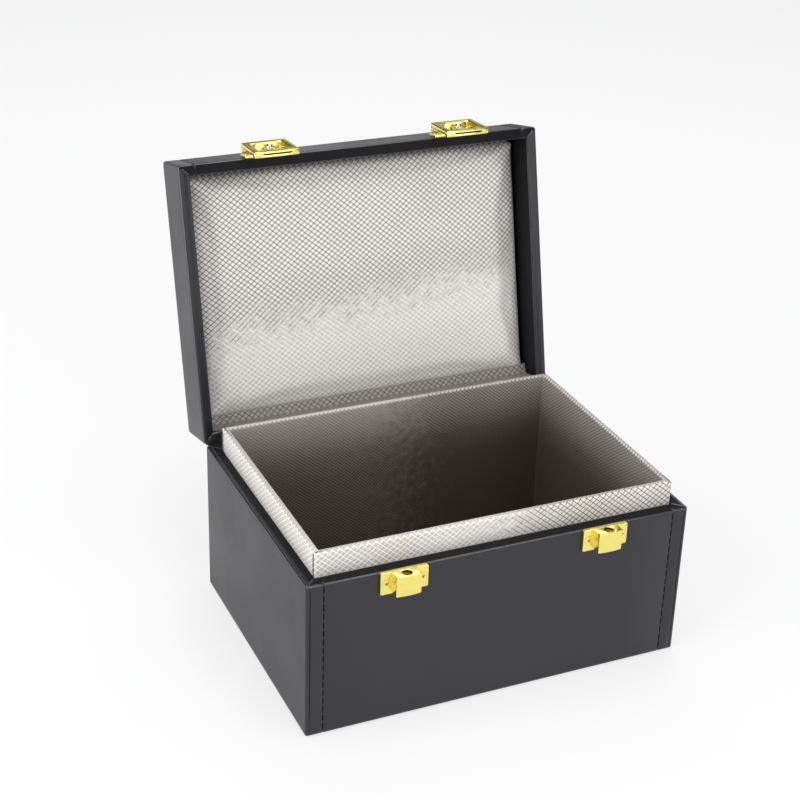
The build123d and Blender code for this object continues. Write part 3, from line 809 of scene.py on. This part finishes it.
def close_case(piece, body, rim, rim_level, outwards, is_painted_dark, replaces):
    """Draws the hinge's edge tight, gives the skin a thickness inwards and finishes the case."""
    tighten_back_edge(piece, rim_level, outwards)
    bpy.ops.object.mode_set(mode="OBJECT")
    apply_modifier(piece, "SOLIDIFY", thickness=mm(0.5), offset=-1.0)
    # Painted shade: the turned-in cloth and the dark rim faces get the darkest cloth. The rounded edges get a
    # glossier cloth whose lighter colour is a painted highlight.
    extra = (
        (painted_shade_cloth, lambda face: is_folded(face, rim, rim_level) or is_painted_dark(face)),
        (polished_highlight_cloth, lambda face: is_rounding(face, rim_level)),
    )
    finished(piece, body, black_cloth, replaces, opened=body == "lid", extra=extra)


# %% Leather of the base
base_leather = leather_case("base_leather", BASE_FOOT, BASE_TOP, BASE_TOP, RIM, 16, under=8)
round_edges(base_leather, lambda e: at_level(e, BASE_FOOT) and is_outer(middle(e)), 0.6, 2)
three_cuts(base_leather, SEAM, SEAM_HALF)
slice_up(base_leather, up=(3.0, 20.0, 42.0, 64.0, 80.4))
print("seam points", sink(base_leather, lambda v: near_seam(v, BASE_TOP), SEAM_SINK))

# %% [markdown]
# Beside each corner, front and back, the cloth is pressed over the edge of the board
# under it, which shows as a thin upright line two millimetres in. It stops short of
# the rim and of the floor.


# %% Pressed lines
PRESSED = 98.0


def is_pressed(vertex):
    """On a pressed line, front or back, clear of the rim and of the floor."""
    x, y, z = vertex.co * 1000
    return abs(abs(x) - PRESSED) < 0.02 and abs(y) > HALF_DEPTH - 0.5 and 2 < z < 81


three_cuts(base_leather, PRESSED, 0.3)
sink(base_leather, is_pressed, 0.35)
fold_corners(base_leather, BASE_TOP, 4)
print("pressed lines at", PRESSED)

# %% [markdown]
# The hinge knuckles sit half in the back of the base, just under its rim, so the
# cloth is pressed in there. Cuts mark the two ends of each knuckle and its lower
# side, and the cloth between them is moved in. Beside the hinges the edge is drawn
# to a tight fold. This is done while the cloth is still a thin skin.


# %% Room for the hinges
def hinge_lines(piece):
    """Two cuts at each end of each hinge."""
    for side in (-1, 1):
        for hinge_x in HINGES:
            slice_up(piece, across=[hinge_x + side * (KNUCKLE_ROOM + offset) for offset in (0, 0.08)])


def is_beside_knuckle(vertex):
    """On the back of the base where a hinge knuckle lies against it."""
    x, y, z = vertex.co * 1000
    return abs(abs(x) - HINGES[1]) < KNUCKLE_ROOM + 0.01 and y > HALF_DEPTH - 1 and z > HINGE_Z - 1.6


PRESSED_IN = 0.85
hinge_lines(base_leather)
slice_up(base_leather, up=(HINGE_Z - 1.8, HINGE_Z - 1.5))
slice_up(base_leather, back=[HALF_DEPTH - 1.9])
pick(base_leather, "VERT", is_beside_knuckle)
bpy.ops.transform.translate(value=mm(0, -PRESSED_IN, 0))
base_wraps = [f"base_{side}_wrap" for side in SIDES]
close_case(base_leather, "base", RIM, BASE_TOP, 1, is_base_rim, base_wraps)

# %% [markdown]
# ## The lid's leather cloth
#
# The lid is the same case, lower and with a closed top. Its rim points down when it
# is shut, so the inset face is the lowest one.

# %% Leather of the lid
lid_leather = leather_case("lid_leather", LID_BOTTOM, LID_TOP, LID_BOTTOM, LID_RIM, 21.5)
round_edges(lid_leather, lambda e: at_level(e, LID_TOP) and is_outer(middle(e)), 1.1, 4)
three_cuts(lid_leather, SEAM, SEAM_HALF)
slice_up(lid_leather, up=(86.5, 98.0, 109.0))
for side in (-1, 1):
    slice_up(lid_leather, across=[side * (HALF_WIDTH - ROUNDED)], back=[side * (HALF_DEPTH - ROUNDED)])
print("seam points", sink(lid_leather, lambda v: near_seam(v, LID_BOTTOM), SEAM_SINK))
fold_corners(lid_leather, LID_BOTTOM, 9)
hinge_lines(lid_leather)
close_case(lid_leather, "lid", LID_RIM, LID_BOTTOM, -1, is_front_rim, ["lid_wrap"])

# %% [markdown]
# ## Stitches
#
# The seams are sewn with black thread. One stitch is a ball drawn out to a short
# length, with its ends pushed down into the cloth. It is then copied along every
# seam, and each row of copies is one piece.

# %% One stitch
STITCH_PITCH = 4.8
STITCH_LENGTH = 4.5
bpy.ops.mesh.primitive_uv_sphere_add(segments=8, ring_count=8, radius=1)
stitch = bpy.context.object
stitch.name = "stitch_pattern"
stitch.scale = mm(0.42, 0.28, STITCH_LENGTH / 2)
bpy.ops.object.transform_apply(location=True, rotation=True, scale=True)
bpy.ops.object.mode_set(mode="EDIT")
pick(stitch, "VERT", lambda v: abs(v.co.z * 1000) > STITCH_LENGTH * 0.42)
bpy.ops.transform.translate(value=mm(0, -0.2, 0))
bpy.ops.object.mode_set(mode="OBJECT")
stitch.select_set(False)


def repeated(pattern, name, places):
    """One new piece made of copies of a pattern's mesh, each at a matrix."""
    gathered = bmesh.new()
    for place in places:
        copy = pattern.data.copy()
        copy.transform(place)
        gathered.from_mesh(copy)
        bpy.data.meshes.remove(copy)
    mesh = bpy.data.meshes.new(name)
    gathered.to_mesh(mesh)
    gathered.free()
    piece = bpy.data.objects.new(name, mesh)
    bpy.context.scene.collection.objects.link(piece)
    return piece


def standing(point, along, outwards):
    """A place whose z runs along a line and whose y points out of the surface."""
    along, outwards = Vector(along).normalized(), Vector(outwards).normalized()
    sideways = outwards.cross(along)
    turn = Matrix((sideways, outwards, along)).transposed().to_4x4()
    return Matrix.Translation(mm(*point)) @ turn


def row(start, end, outwards):
    """Places of the stitches from one point to another, evenly spread."""
    start, end = Vector(start), Vector(end)
    count = max(1, round((end - start).length / STITCH_PITCH))
    step = (end - start) / count
    return [standing(start + step * (index + 0.5), step, outwards) for index in range(count)]


# %% Rows of stitches
THREAD_SINK = 0.16
BASE_LEVEL, LID_LEVEL = BASE_TOP - THREAD_SINK, LID_BOTTOM + THREAD_SINK
base_rows, lid_rows = [], []
for x in (-SEAM, SEAM):
    for face in (-1, 1):
        skin = face * (HALF_DEPTH - THREAD_SINK)
        rim_from, rim_to = face * (HALF_DEPTH - 1.2), face * (HALF_DEPTH - 5.6)
        out = (0, face, 0)
        base_rows += row((x, skin, 2.4), (x, skin, 82.2), out)
        base_rows += row((x, rim_from, BASE_LEVEL), (x, rim_to, BASE_LEVEL), (0, 0, 1))
        lid_rows += row((x, skin, 85.2), (x, skin, 110.2), out)
        lid_rows += row((x, rim_from, LID_LEVEL), (x, rim_to, LID_LEVEL), (0, 0, -1))
base_thread = repeated(stitch, "base_seam_thread", base_rows)
finished(base_thread, "base", black_thread)
lid_thread = repeated(stitch, "lid_seam_thread", lid_rows)
finished(lid_thread, "lid", black_thread, opened=True)
bpy.data.objects.remove(stitch)
print("stitches", len(base_rows) + len(lid_rows))

# %% [markdown]
# ## The tray's lining
#
# Inside the base stands a tray of card, covered with shielding fabric that runs up
# the outside, over the top and down inside. The fabric makes the top fully round.
# The piece starts as a cube; its top is inset by the wall and pushed down to the
# floor. Its UV map winds round the outside without a break and lies flat on each
# wall inside. Two numbers are stored on its points for the material to read: a
# painted reflection that makes the heavy threads light or dark along the wall, and
# a painted shade that darkens the cloth to brown deeper in the tray.

# %% Lining of the tray
TRAY_X, TRAY_Y, TRAY_WALL = 93.5, 65.5, 3.2
TRAY_FLOOR, TRAY_TOP = 4.8, 95.75
CORNER = 1.2


def tray_side(point):
    """Minus inside the tray's cavity, plus outside or on top, in millimetres."""
    return max(abs(point.x) - (TRAY_X - TRAY_WALL), abs(point.y) - (TRAY_Y - TRAY_WALL))


lining = block("tray_lining", (-TRAY_X, -TRAY_Y, TRAY_FLOOR), (TRAY_X, TRAY_Y, TRAY_TOP))
pick(lining, "FACE", lambda face: face.normal.z > 0.9)
bpy.ops.mesh.inset(thickness=mm(TRAY_WALL))
bpy.ops.mesh.extrude_region_move(TRANSFORM_OT_translate={"value": mm(0, 0, TRAY_FLOOR + 0.4 - TRAY_TOP)})
round_edges(lining, lambda e: abs(e.verts[0].co.z - e.verts[1].co.z) > 0.01, CORNER, 4)
round_edges(lining, lambda e: at_level(e, TRAY_TOP), CORNER, 5)
slice_up(lining, up=(12, 24, 40, 56, 70, 80, 86, 91, 94))
slice_up(lining, across=range(-80, 81, 20), back=range(-50, 51, 20))
bpy.ops.object.mode_set(mode="OBJECT")
print("lining", len(lining.data.polygons))


# %% Marks and map of the lining
FINER_INSIDE = 1.5
OVER_THE_TOP = TRAY_WALL * 0.75


def round_the_tray(x, y):
    """How far round the tray a point of its outside lies, from the middle of its front."""
    x, straight_x, straight_y = abs(x), TRAY_X - CORNER, TRAY_Y - CORNER
    arc = CORNER * math.pi / 2
    if y <= -straight_y:
        if x <= straight_x:
            return x
        return straight_x + CORNER * math.atan2(x - straight_x, -y - straight_y)
    if y < straight_y:
        return straight_x + arc + y + straight_y
    if x > straight_x:
        return straight_x + arc + 2 * straight_y + CORNER * math.atan2(y - straight_y, x - straight_x)
    return straight_x + 2 * arc + 2 * straight_y + straight_x - x


def wound(face, point):
    """Where a point lies on the cloth: wound round the tray outside, flat on each wall inside."""
    centre = face.calc_center_median() * 1000
    side = 1 if centre.x > 0 else -1
    x, y, z = point
    if tray_side(centre) > OVER_THE_TOP:
        return side * round_the_tray(x, y), z
    if centre.z < TRAY_FLOOR + 2:
        return x, y
    if abs(centre.x) - TRAY_X > abs(centre.y) - TRAY_Y:
        return FINER_INSIDE * y, FINER_INSIDE * (z - side * x)
    return FINER_INSIDE * x, FINER_INSIDE * (z - abs(y))


def tray_painted_sheen(point):
    """Painted reflection: light threads to the left, dark ones to the right of the front wall."""
    return min(1.0, max(0.0, 0.75 - (point.x + 20) / 110))


def tray_painted_shade(point):
    """Painted shade: none outside, then growing from the rounded top down into the tray."""
    if tray_side(point) > OVER_THE_TOP:
        return 0.0
    if tray_side(point) > 0.3:
        return 0.3
    return min(1.0, 0.5 + (TRAY_TOP - point.z) / 60)


lay_cloth(lining, wound)
mark(lining, "sheen", tray_painted_sheen)
mark(lining, "depth", tray_painted_shade)
liners = [f"liner_fabric_{side}" for side in SIDES]
finished(lining, "base", tray_fabric, liners, smooth=50)

# %% [markdown]
# ## The floor pad
#
# A thin foam pad covered in the same fabric lies on the tray's floor. It is crowned
# in the middle and pinched at its edges.

# %% Floor pad
floor_cushion = block("floor_cushion", (-90, -62, TRAY_FLOOR + 0.45), (90, 62, 7.4))
round_edges(floor_cushion, lambda e: True, 1.1, 3)
slice_up(floor_cushion, across=range(-75, 76, 15), back=range(-45, 46, 15))
bpy.ops.object.mode_set(mode="OBJECT")
for vertex in floor_cushion.data.vertices:
    x, y, z = vertex.co * 1000
    if z > 6.5:
        crown = (1 - (x / 90) ** 4) * (1 - (y / 62) ** 4)
        vertex.co.z += mm(0.4) * crown * (1 + 0.5 * math.sin(x / 9) * math.sin(y / 11))
lay_cloth(floor_cushion)
# Painted shade and reflection: the whole pad is darkened to the deepest brown, its threads part way to light.
mark(floor_cushion, "sheen", lambda point: 0.6)
mark(floor_cushion, "depth", lambda point: 1.0)
finished(floor_cushion, "base", tray_fabric, ["floor_pad"])

# %% [markdown]
# ## The lid's padded panel
#
# A board with a sheet of foam, wrapped in the shielding fabric and pushed into the
# lid. The foam swells in the middle and rolls over at the edges, where the fabric
# is pulled to the back. A block with rounded edges is remeshed into even squares,
# and a Cloth simulation under pressure blows it up a little. Each point may move
# only so far, which keeps the panel in its place, and the points of the back are
# held. Small pleats run in from the corners, where the fabric has too much cloth.

# %% Padded panel: form
PANEL_X, PANEL_Y = 94.0, 66.0
PANEL_FACE, PANEL_BACK = 96.1, 106.0
PANEL_SWELL = 1.15

flat_x, flat_y, flat_face = PANEL_X - 0.5, PANEL_Y - 0.5, PANEL_FACE + 0.4
panel = block("lid_cushion", (-flat_x, -flat_y, flat_face), (flat_x, flat_y, PANEL_BACK))
round_edges(panel, lambda e: abs(e.verts[0].co.z - e.verts[1].co.z) > 0.005, 2.0, 3)
round_edges(panel, lambda e: at_level(e, flat_face), 3.8, 4)
bpy.ops.object.mode_set(mode="OBJECT")
apply_modifier(panel, "REMESH", mode="VOXEL", voxel_size=mm(3))
print("panel squares", len(panel.data.polygons))


# %% Padded panel: swelling
def swell(piece, held, pressure, cap):
    """Blows a closed piece up with the Cloth modifier and caps how far points move."""
    start = [vertex.co.copy() for vertex in piece.data.vertices]
    group = piece.vertex_groups.new(name="held")
    group.add([v.index for v in piece.data.vertices if held(v.co * 1000)], 1.0, "REPLACE")
    bpy.context.view_layer.objects.active = piece
    cloth = piece.modifiers.new("cloth", "CLOTH")
    cloth.settings.vertex_group_mass = "held"
    cloth.settings.use_pressure = True
    cloth.settings.uniform_pressure_force = pressure
    cloth.settings.effector_weights.gravity = 0
    for number in range(1, 21):
        bpy.context.scene.frame_set(number)
    bpy.ops.object.modifier_apply(modifier="cloth")
    bpy.context.scene.frame_set(1)
    piece.vertex_groups.clear()
    for vertex, before in zip(piece.data.vertices, start):
        move = vertex.co - before
        if move.length > cap:
            vertex.co = before + move.normalized() * cap


swell(panel, lambda point: point.z > PANEL_BACK - 1.5, 4.0, mm(PANEL_SWELL))
apply_modifier(panel, "SUBSURF", levels=1, render_levels=1)
print("panel swollen", [round(value * 1000, 1) for value in panel.dimensions])


# %% Padded panel: pleats, marks and map
def pleat(point):
    """Height of the small pleats that run in from the nearest corner."""
    dx, dy = PANEL_X - abs(point.x), PANEL_Y - abs(point.y)
    far = math.hypot(dx, dy)
    angle = math.atan2(dy + 0.5, dx + 0.5)
    return 0.28 * math.sin(angle * 14) * math.exp(-far / 11)


for vertex in panel.data.vertices:
    point = vertex.co * 1000
    if point.z < PANEL_BACK - 2:
        vertex.co.z -= mm(pleat(point))
        edge = min(PANEL_X - abs(point.x), PANEL_Y - abs(point.y))
        vertex.co.z += mm(0.10 * math.sin(point.x / 7 + point.y / 13) * math.exp(-edge / 18))


def panel_painted_sheen(point):
    """Painted reflection: low in the upper half of the open lid and on its left edge, high at the hinge."""
    down = (point.y + PANEL_Y) / (2 * PANEL_Y)
    sides = math.copysign(max(0.0, abs(point.x) - 87) / 10, point.x)
    return min(1.0, max(0.0, 0.5 + 2.0 * (down - 0.60 + point.x / 1500) + sides))


lay_cloth(panel)
mark(panel, "sheen", panel_painted_sheen)
mark(panel, "depth", lambda point: 0.0)
finished(panel, "lid", panel_fabric, ["lid_panel_fabric", "lid_panel_foam"], opened=True, smooth=60)

# %% [markdown]
# At the hinge a strip of the fabric runs from the panel over the lid's back wall,
# almost to the rim. Its rows of points are moved to bend it over the panel's edge. Its
# colour is darkened to a dull brown with dark threads, a painted shade for the tray's shadow.


# %% Strip of fabric at the hinge
BACK_WALL = HALF_DEPTH - LID_RIM
STRIP_TOP = PANEL_FACE + 3
BENT_ROWS = ((95.5, 0.25, 0.1), (96.6, 1.3, 0.45), (98.0, 3.2, 1.6), (STRIP_TOP, 5.2, 1.8))
strip = block("hinge_strip", (-93.6, BACK_WALL - 0.38, LID_BOTTOM + 2.0), (93.6, BACK_WALL - 0.04, STRIP_TOP))
slice_up(strip, across=range(-75, 76, 15), up=(92.5, 94.4, 95.5, 96.6, 98.0))
for height, back, down in BENT_ROWS:
    pick(strip, "VERT", lambda v: abs(v.co.z * 1000 - height) < 0.01)
    bpy.ops.transform.translate(value=mm(0, -back, -down))
bpy.ops.object.mode_set(mode="OBJECT")
lay_cloth(strip)
# Painted shade: dark threads on a cloth darkened to dull brown.
mark(strip, "sheen", lambda point: 0.1)
mark(strip, "depth", lambda point: 0.70)
finished(strip, "lid", panel_fabric, opened=True)

# %% [markdown]
# ## Castings
#
# Catches, brackets, loops and hinge leaves are cast and gilt. Their CAD shapes are
# right, but their edges are knife sharp, and a gilt edge is what catches the light.
# Each gets a copy of its own mesh: the loose triangles are merged, flat ones are
# dissolved into whole faces, and a Bevel rounds the edges.


# %% Round the edges of the castings
def cast_copy(node, name, width):
    """A copy of a CAD node's mesh with its sharp edges rounded."""
    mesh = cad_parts[node].data.copy()
    piece = bpy.data.objects.new(name, mesh)
    bpy.context.scene.collection.objects.link(piece)
    bpy.context.view_layer.objects.active = piece
    piece.select_set(True)
    if mesh.has_custom_normals:
        bpy.ops.mesh.customdata_custom_splitnormals_clear()
    bpy.ops.object.mode_set(mode="EDIT")
    bpy.ops.mesh.select_all(action="SELECT")
    bpy.ops.mesh.remove_doubles(threshold=1e-6)
    bpy.ops.mesh.dissolve_limited(angle_limit=math.radians(1))
    bpy.ops.object.mode_set(mode="OBJECT")
    apply_modifier(
        piece,
        "BEVEL",
        width=mm(width),
        segments=2,
        limit_method="ANGLE",
        angle_limit=math.radians(38),
        use_clamp_overlap=False,
    )
    return piece


def in_hood(face):
    """In the round hole in a hood's top, and under it."""
    x, y, z = face.center * 1000
    return math.hypot(abs(x) - LATCHES[1], y + HALF_DEPTH + STUD_REACH) < 2.35 and z < BASE_TOP - 0.25


def in_groove(face):
    """In the finger groove of a loop's lower bar."""
    x, y, z = shut @ face.center * 1000
    return abs(y + HALF_DEPTH + 2.7) < 0.34 and z < LID_BOTTOM - 14.7 and abs(abs(x) - LATCHES[1]) < 7.6


# The hollows of hoods and loops get a dark brown, a painted shade.
HOLLOWS = {"catch": in_hood, "latch_loop": in_groove}
CASTINGS = {
    "catch": ("base", 0.22),
    "latch_bracket": ("lid", 0.18),
    "latch_loop": ("loop", 0.20),
    "hinge_base_leaf": ("base", 0.12),
    "hinge_lid_leaf": ("lid", 0.12),
}
for kind, (body, width) in CASTINGS.items():
    for side in ("left", "right"):
        node = f"{kind}_{side}"
        rides = f"loop_{side}" if body == "loop" else body
        hollow = [(hollow_shade, HOLLOWS[kind])] if kind in HOLLOWS else []
        casting = cast_copy(node, f"{node}_casting", width)
        finished(casting, rides, gilt, [node], smooth=30, extra=hollow)

# %% [markdown]
# ## Screws
#
# Each plate is held by two cross-head screws with raised heads. A disc is inset and
# lifted ring by ring into a dome, and a cross of two thin bars is subtracted from
# its top. The sixteen screws are copies, each turned to another angle, as a hand
# leaves them.

# %% One screw
HEAD = 2.05
bpy.ops.mesh.primitive_circle_add(vertices=24, radius=mm(HEAD), fill_type="NGON")
screw = bpy.context.object
screw.name = "screw_pattern"
bpy.ops.object.mode_set(mode="EDIT")
bpy.ops.mesh.select_all(action="SELECT")
bpy.ops.mesh.extrude_region_move(TRANSFORM_OT_translate={"value": mm(0, 0, 0.14)})
for ring, lift in ((0.35, 0.12), (0.55, 0.10), (0.5, 0.04)):
    bpy.ops.mesh.inset(thickness=mm(ring))
    bpy.ops.transform.translate(value=mm(0, 0, lift))
bpy.ops.mesh.select_all(action="SELECT")
bpy.ops.mesh.normals_make_consistent(inside=False)
bpy.ops.object.mode_set(mode="OBJECT")
for length, width in ((1.25, 0.27), (0.27, 1.25)):
    bar = block("bar", (-length, -width, 0.08), (length, width, 1.0))
    pick(bar, "FACE", lambda face: face.normal.z < -0.9)
    bpy.ops.transform.resize(value=(0.8, 0.8, 1))
    bpy.ops.object.mode_set(mode="OBJECT")
    bar.select_set(False)
    apply_modifier(screw, "BOOLEAN", operation="DIFFERENCE", object=bar, solver="EXACT")
    bpy.data.objects.remove(bar)
in_cross = []
for face in screw.data.polygons:
    near, far = sorted((abs(face.center.x), abs(face.center.y)))
    in_cross.append(near < mm(0.28) and far < mm(1.3) and face.center.z < mm(0.3))
screw.data.transform(Matrix.Translation(mm(0, 0, -0.05)))
print("screw faces", len(in_cross), "in the cross", sum(in_cross))

# %% [markdown]
# The heads sit where the plates' holes are: on the catch plates, the latch brackets
# and both leaves of each hinge. Each row of the table gives a body, the middles of
# its plates, how far each screw is from the middle, its depth and height, and the
# way it faces. All places are written for the shut box, and the lid's swing open
# with it.


# %% Sixteen screws
def facing(point, outwards, angle):
    """A place whose z points out of a plate, turned about it."""
    quarter = Vector(outwards).to_track_quat("Z", "Y").to_matrix().to_4x4()
    return Matrix.Translation(mm(*point)) @ quarter @ Matrix.Rotation(math.radians(angle), 4, "Z")


angles = random.Random(7)
SCREW_SETS = {
    "catch_screws": ("base", LATCHES, 9.1, -74.0, 77.8, -1),
    "latch_screws": ("lid", LATCHES, 9.1, -73.6, 89.1, -1),
    "hinge_base_screws": ("base", HINGES, 7.6, 72.9, HINGE_Z - 9.2, 1),
    "hinge_lid_screws": ("lid", HINGES, 7.6, 72.9, HINGE_Z + 9.2, 1),
}
for node, (body, middles, spread, y, z, out) in SCREW_SETS.items():
    at = [x + side * spread for x in middles for side in (-1, 1)]
    places = [facing((x, y, z), (0, out, 0), angles.uniform(0, 90)) for x in at]
    heads = repeated(screw, f"{node[:-1]}_heads", places)
    crosses = [(shaded_gilt, lambda face: in_cross[face.index % len(in_cross)])]
    finished(heads, body, bright_gilt, [node], opened=body == "lid", extra=crosses)
bpy.data.objects.remove(screw)

# %% [markdown]
# ## Ball studs
#
# Under each bracket hangs a stud with a ball that snaps into the catch. It is a
# turned piece: half of its outline is drawn point by point and spun round its axis.

# %% One stud, turned
NECK = [(0.8, 2.0), (0.8, 0.2), (1.2, 0.2), (1.2, -1.4)]
BALL = [(1.6, -1.8), (1.9, -2.4), (2.0, -3.0), (1.9, -3.6), (1.6, -4.2), (1.2, -4.6), (0.7, -4.87), (0.0, -5.0)]
bpy.ops.mesh.primitive_plane_add(size=mm(1))
stud = bpy.context.object
stud.name = "stud_pattern"
bpy.ops.object.mode_set(mode="EDIT")
pick(stud, "VERT", lambda v: v.index != 0)
bpy.ops.mesh.delete(type="VERT")
pick(stud, "VERT", lambda v: True)
before = Vector((0.0, NECK[0][1]))
bmesh.from_edit_mesh(stud.data).verts[:][0].co = mm(0, 0, before.y)
bmesh.update_edit_mesh(stud.data)
for after in map(Vector, NECK + BALL):
    step = after - before
    bpy.ops.mesh.extrude_region_move(TRANSFORM_OT_translate={"value": mm(step.x, 0, step.y)})
    before = after
bpy.ops.mesh.select_all(action="SELECT")
bpy.ops.mesh.spin(steps=24, angle=2 * math.pi, center=(0, 0, 0), axis=(0, 0, 1))
bpy.ops.mesh.select_all(action="SELECT")
bpy.ops.mesh.remove_doubles(threshold=1e-6)
bpy.ops.mesh.normals_make_consistent(inside=False)
bpy.ops.object.mode_set(mode="OBJECT")
stud.select_set(False)

for side, x in zip(("left", "right"), LATCHES):
    place = Matrix.Translation(mm(x, -HALF_DEPTH - STUD_REACH, LID_BOTTOM))
    made = repeated(stud, f"latch_stud_{side}_ball", [place])
    finished(made, "lid", nickel, [f"latch_stud_{side}"], opened=True, smooth=40)
bpy.data.objects.remove(stud)
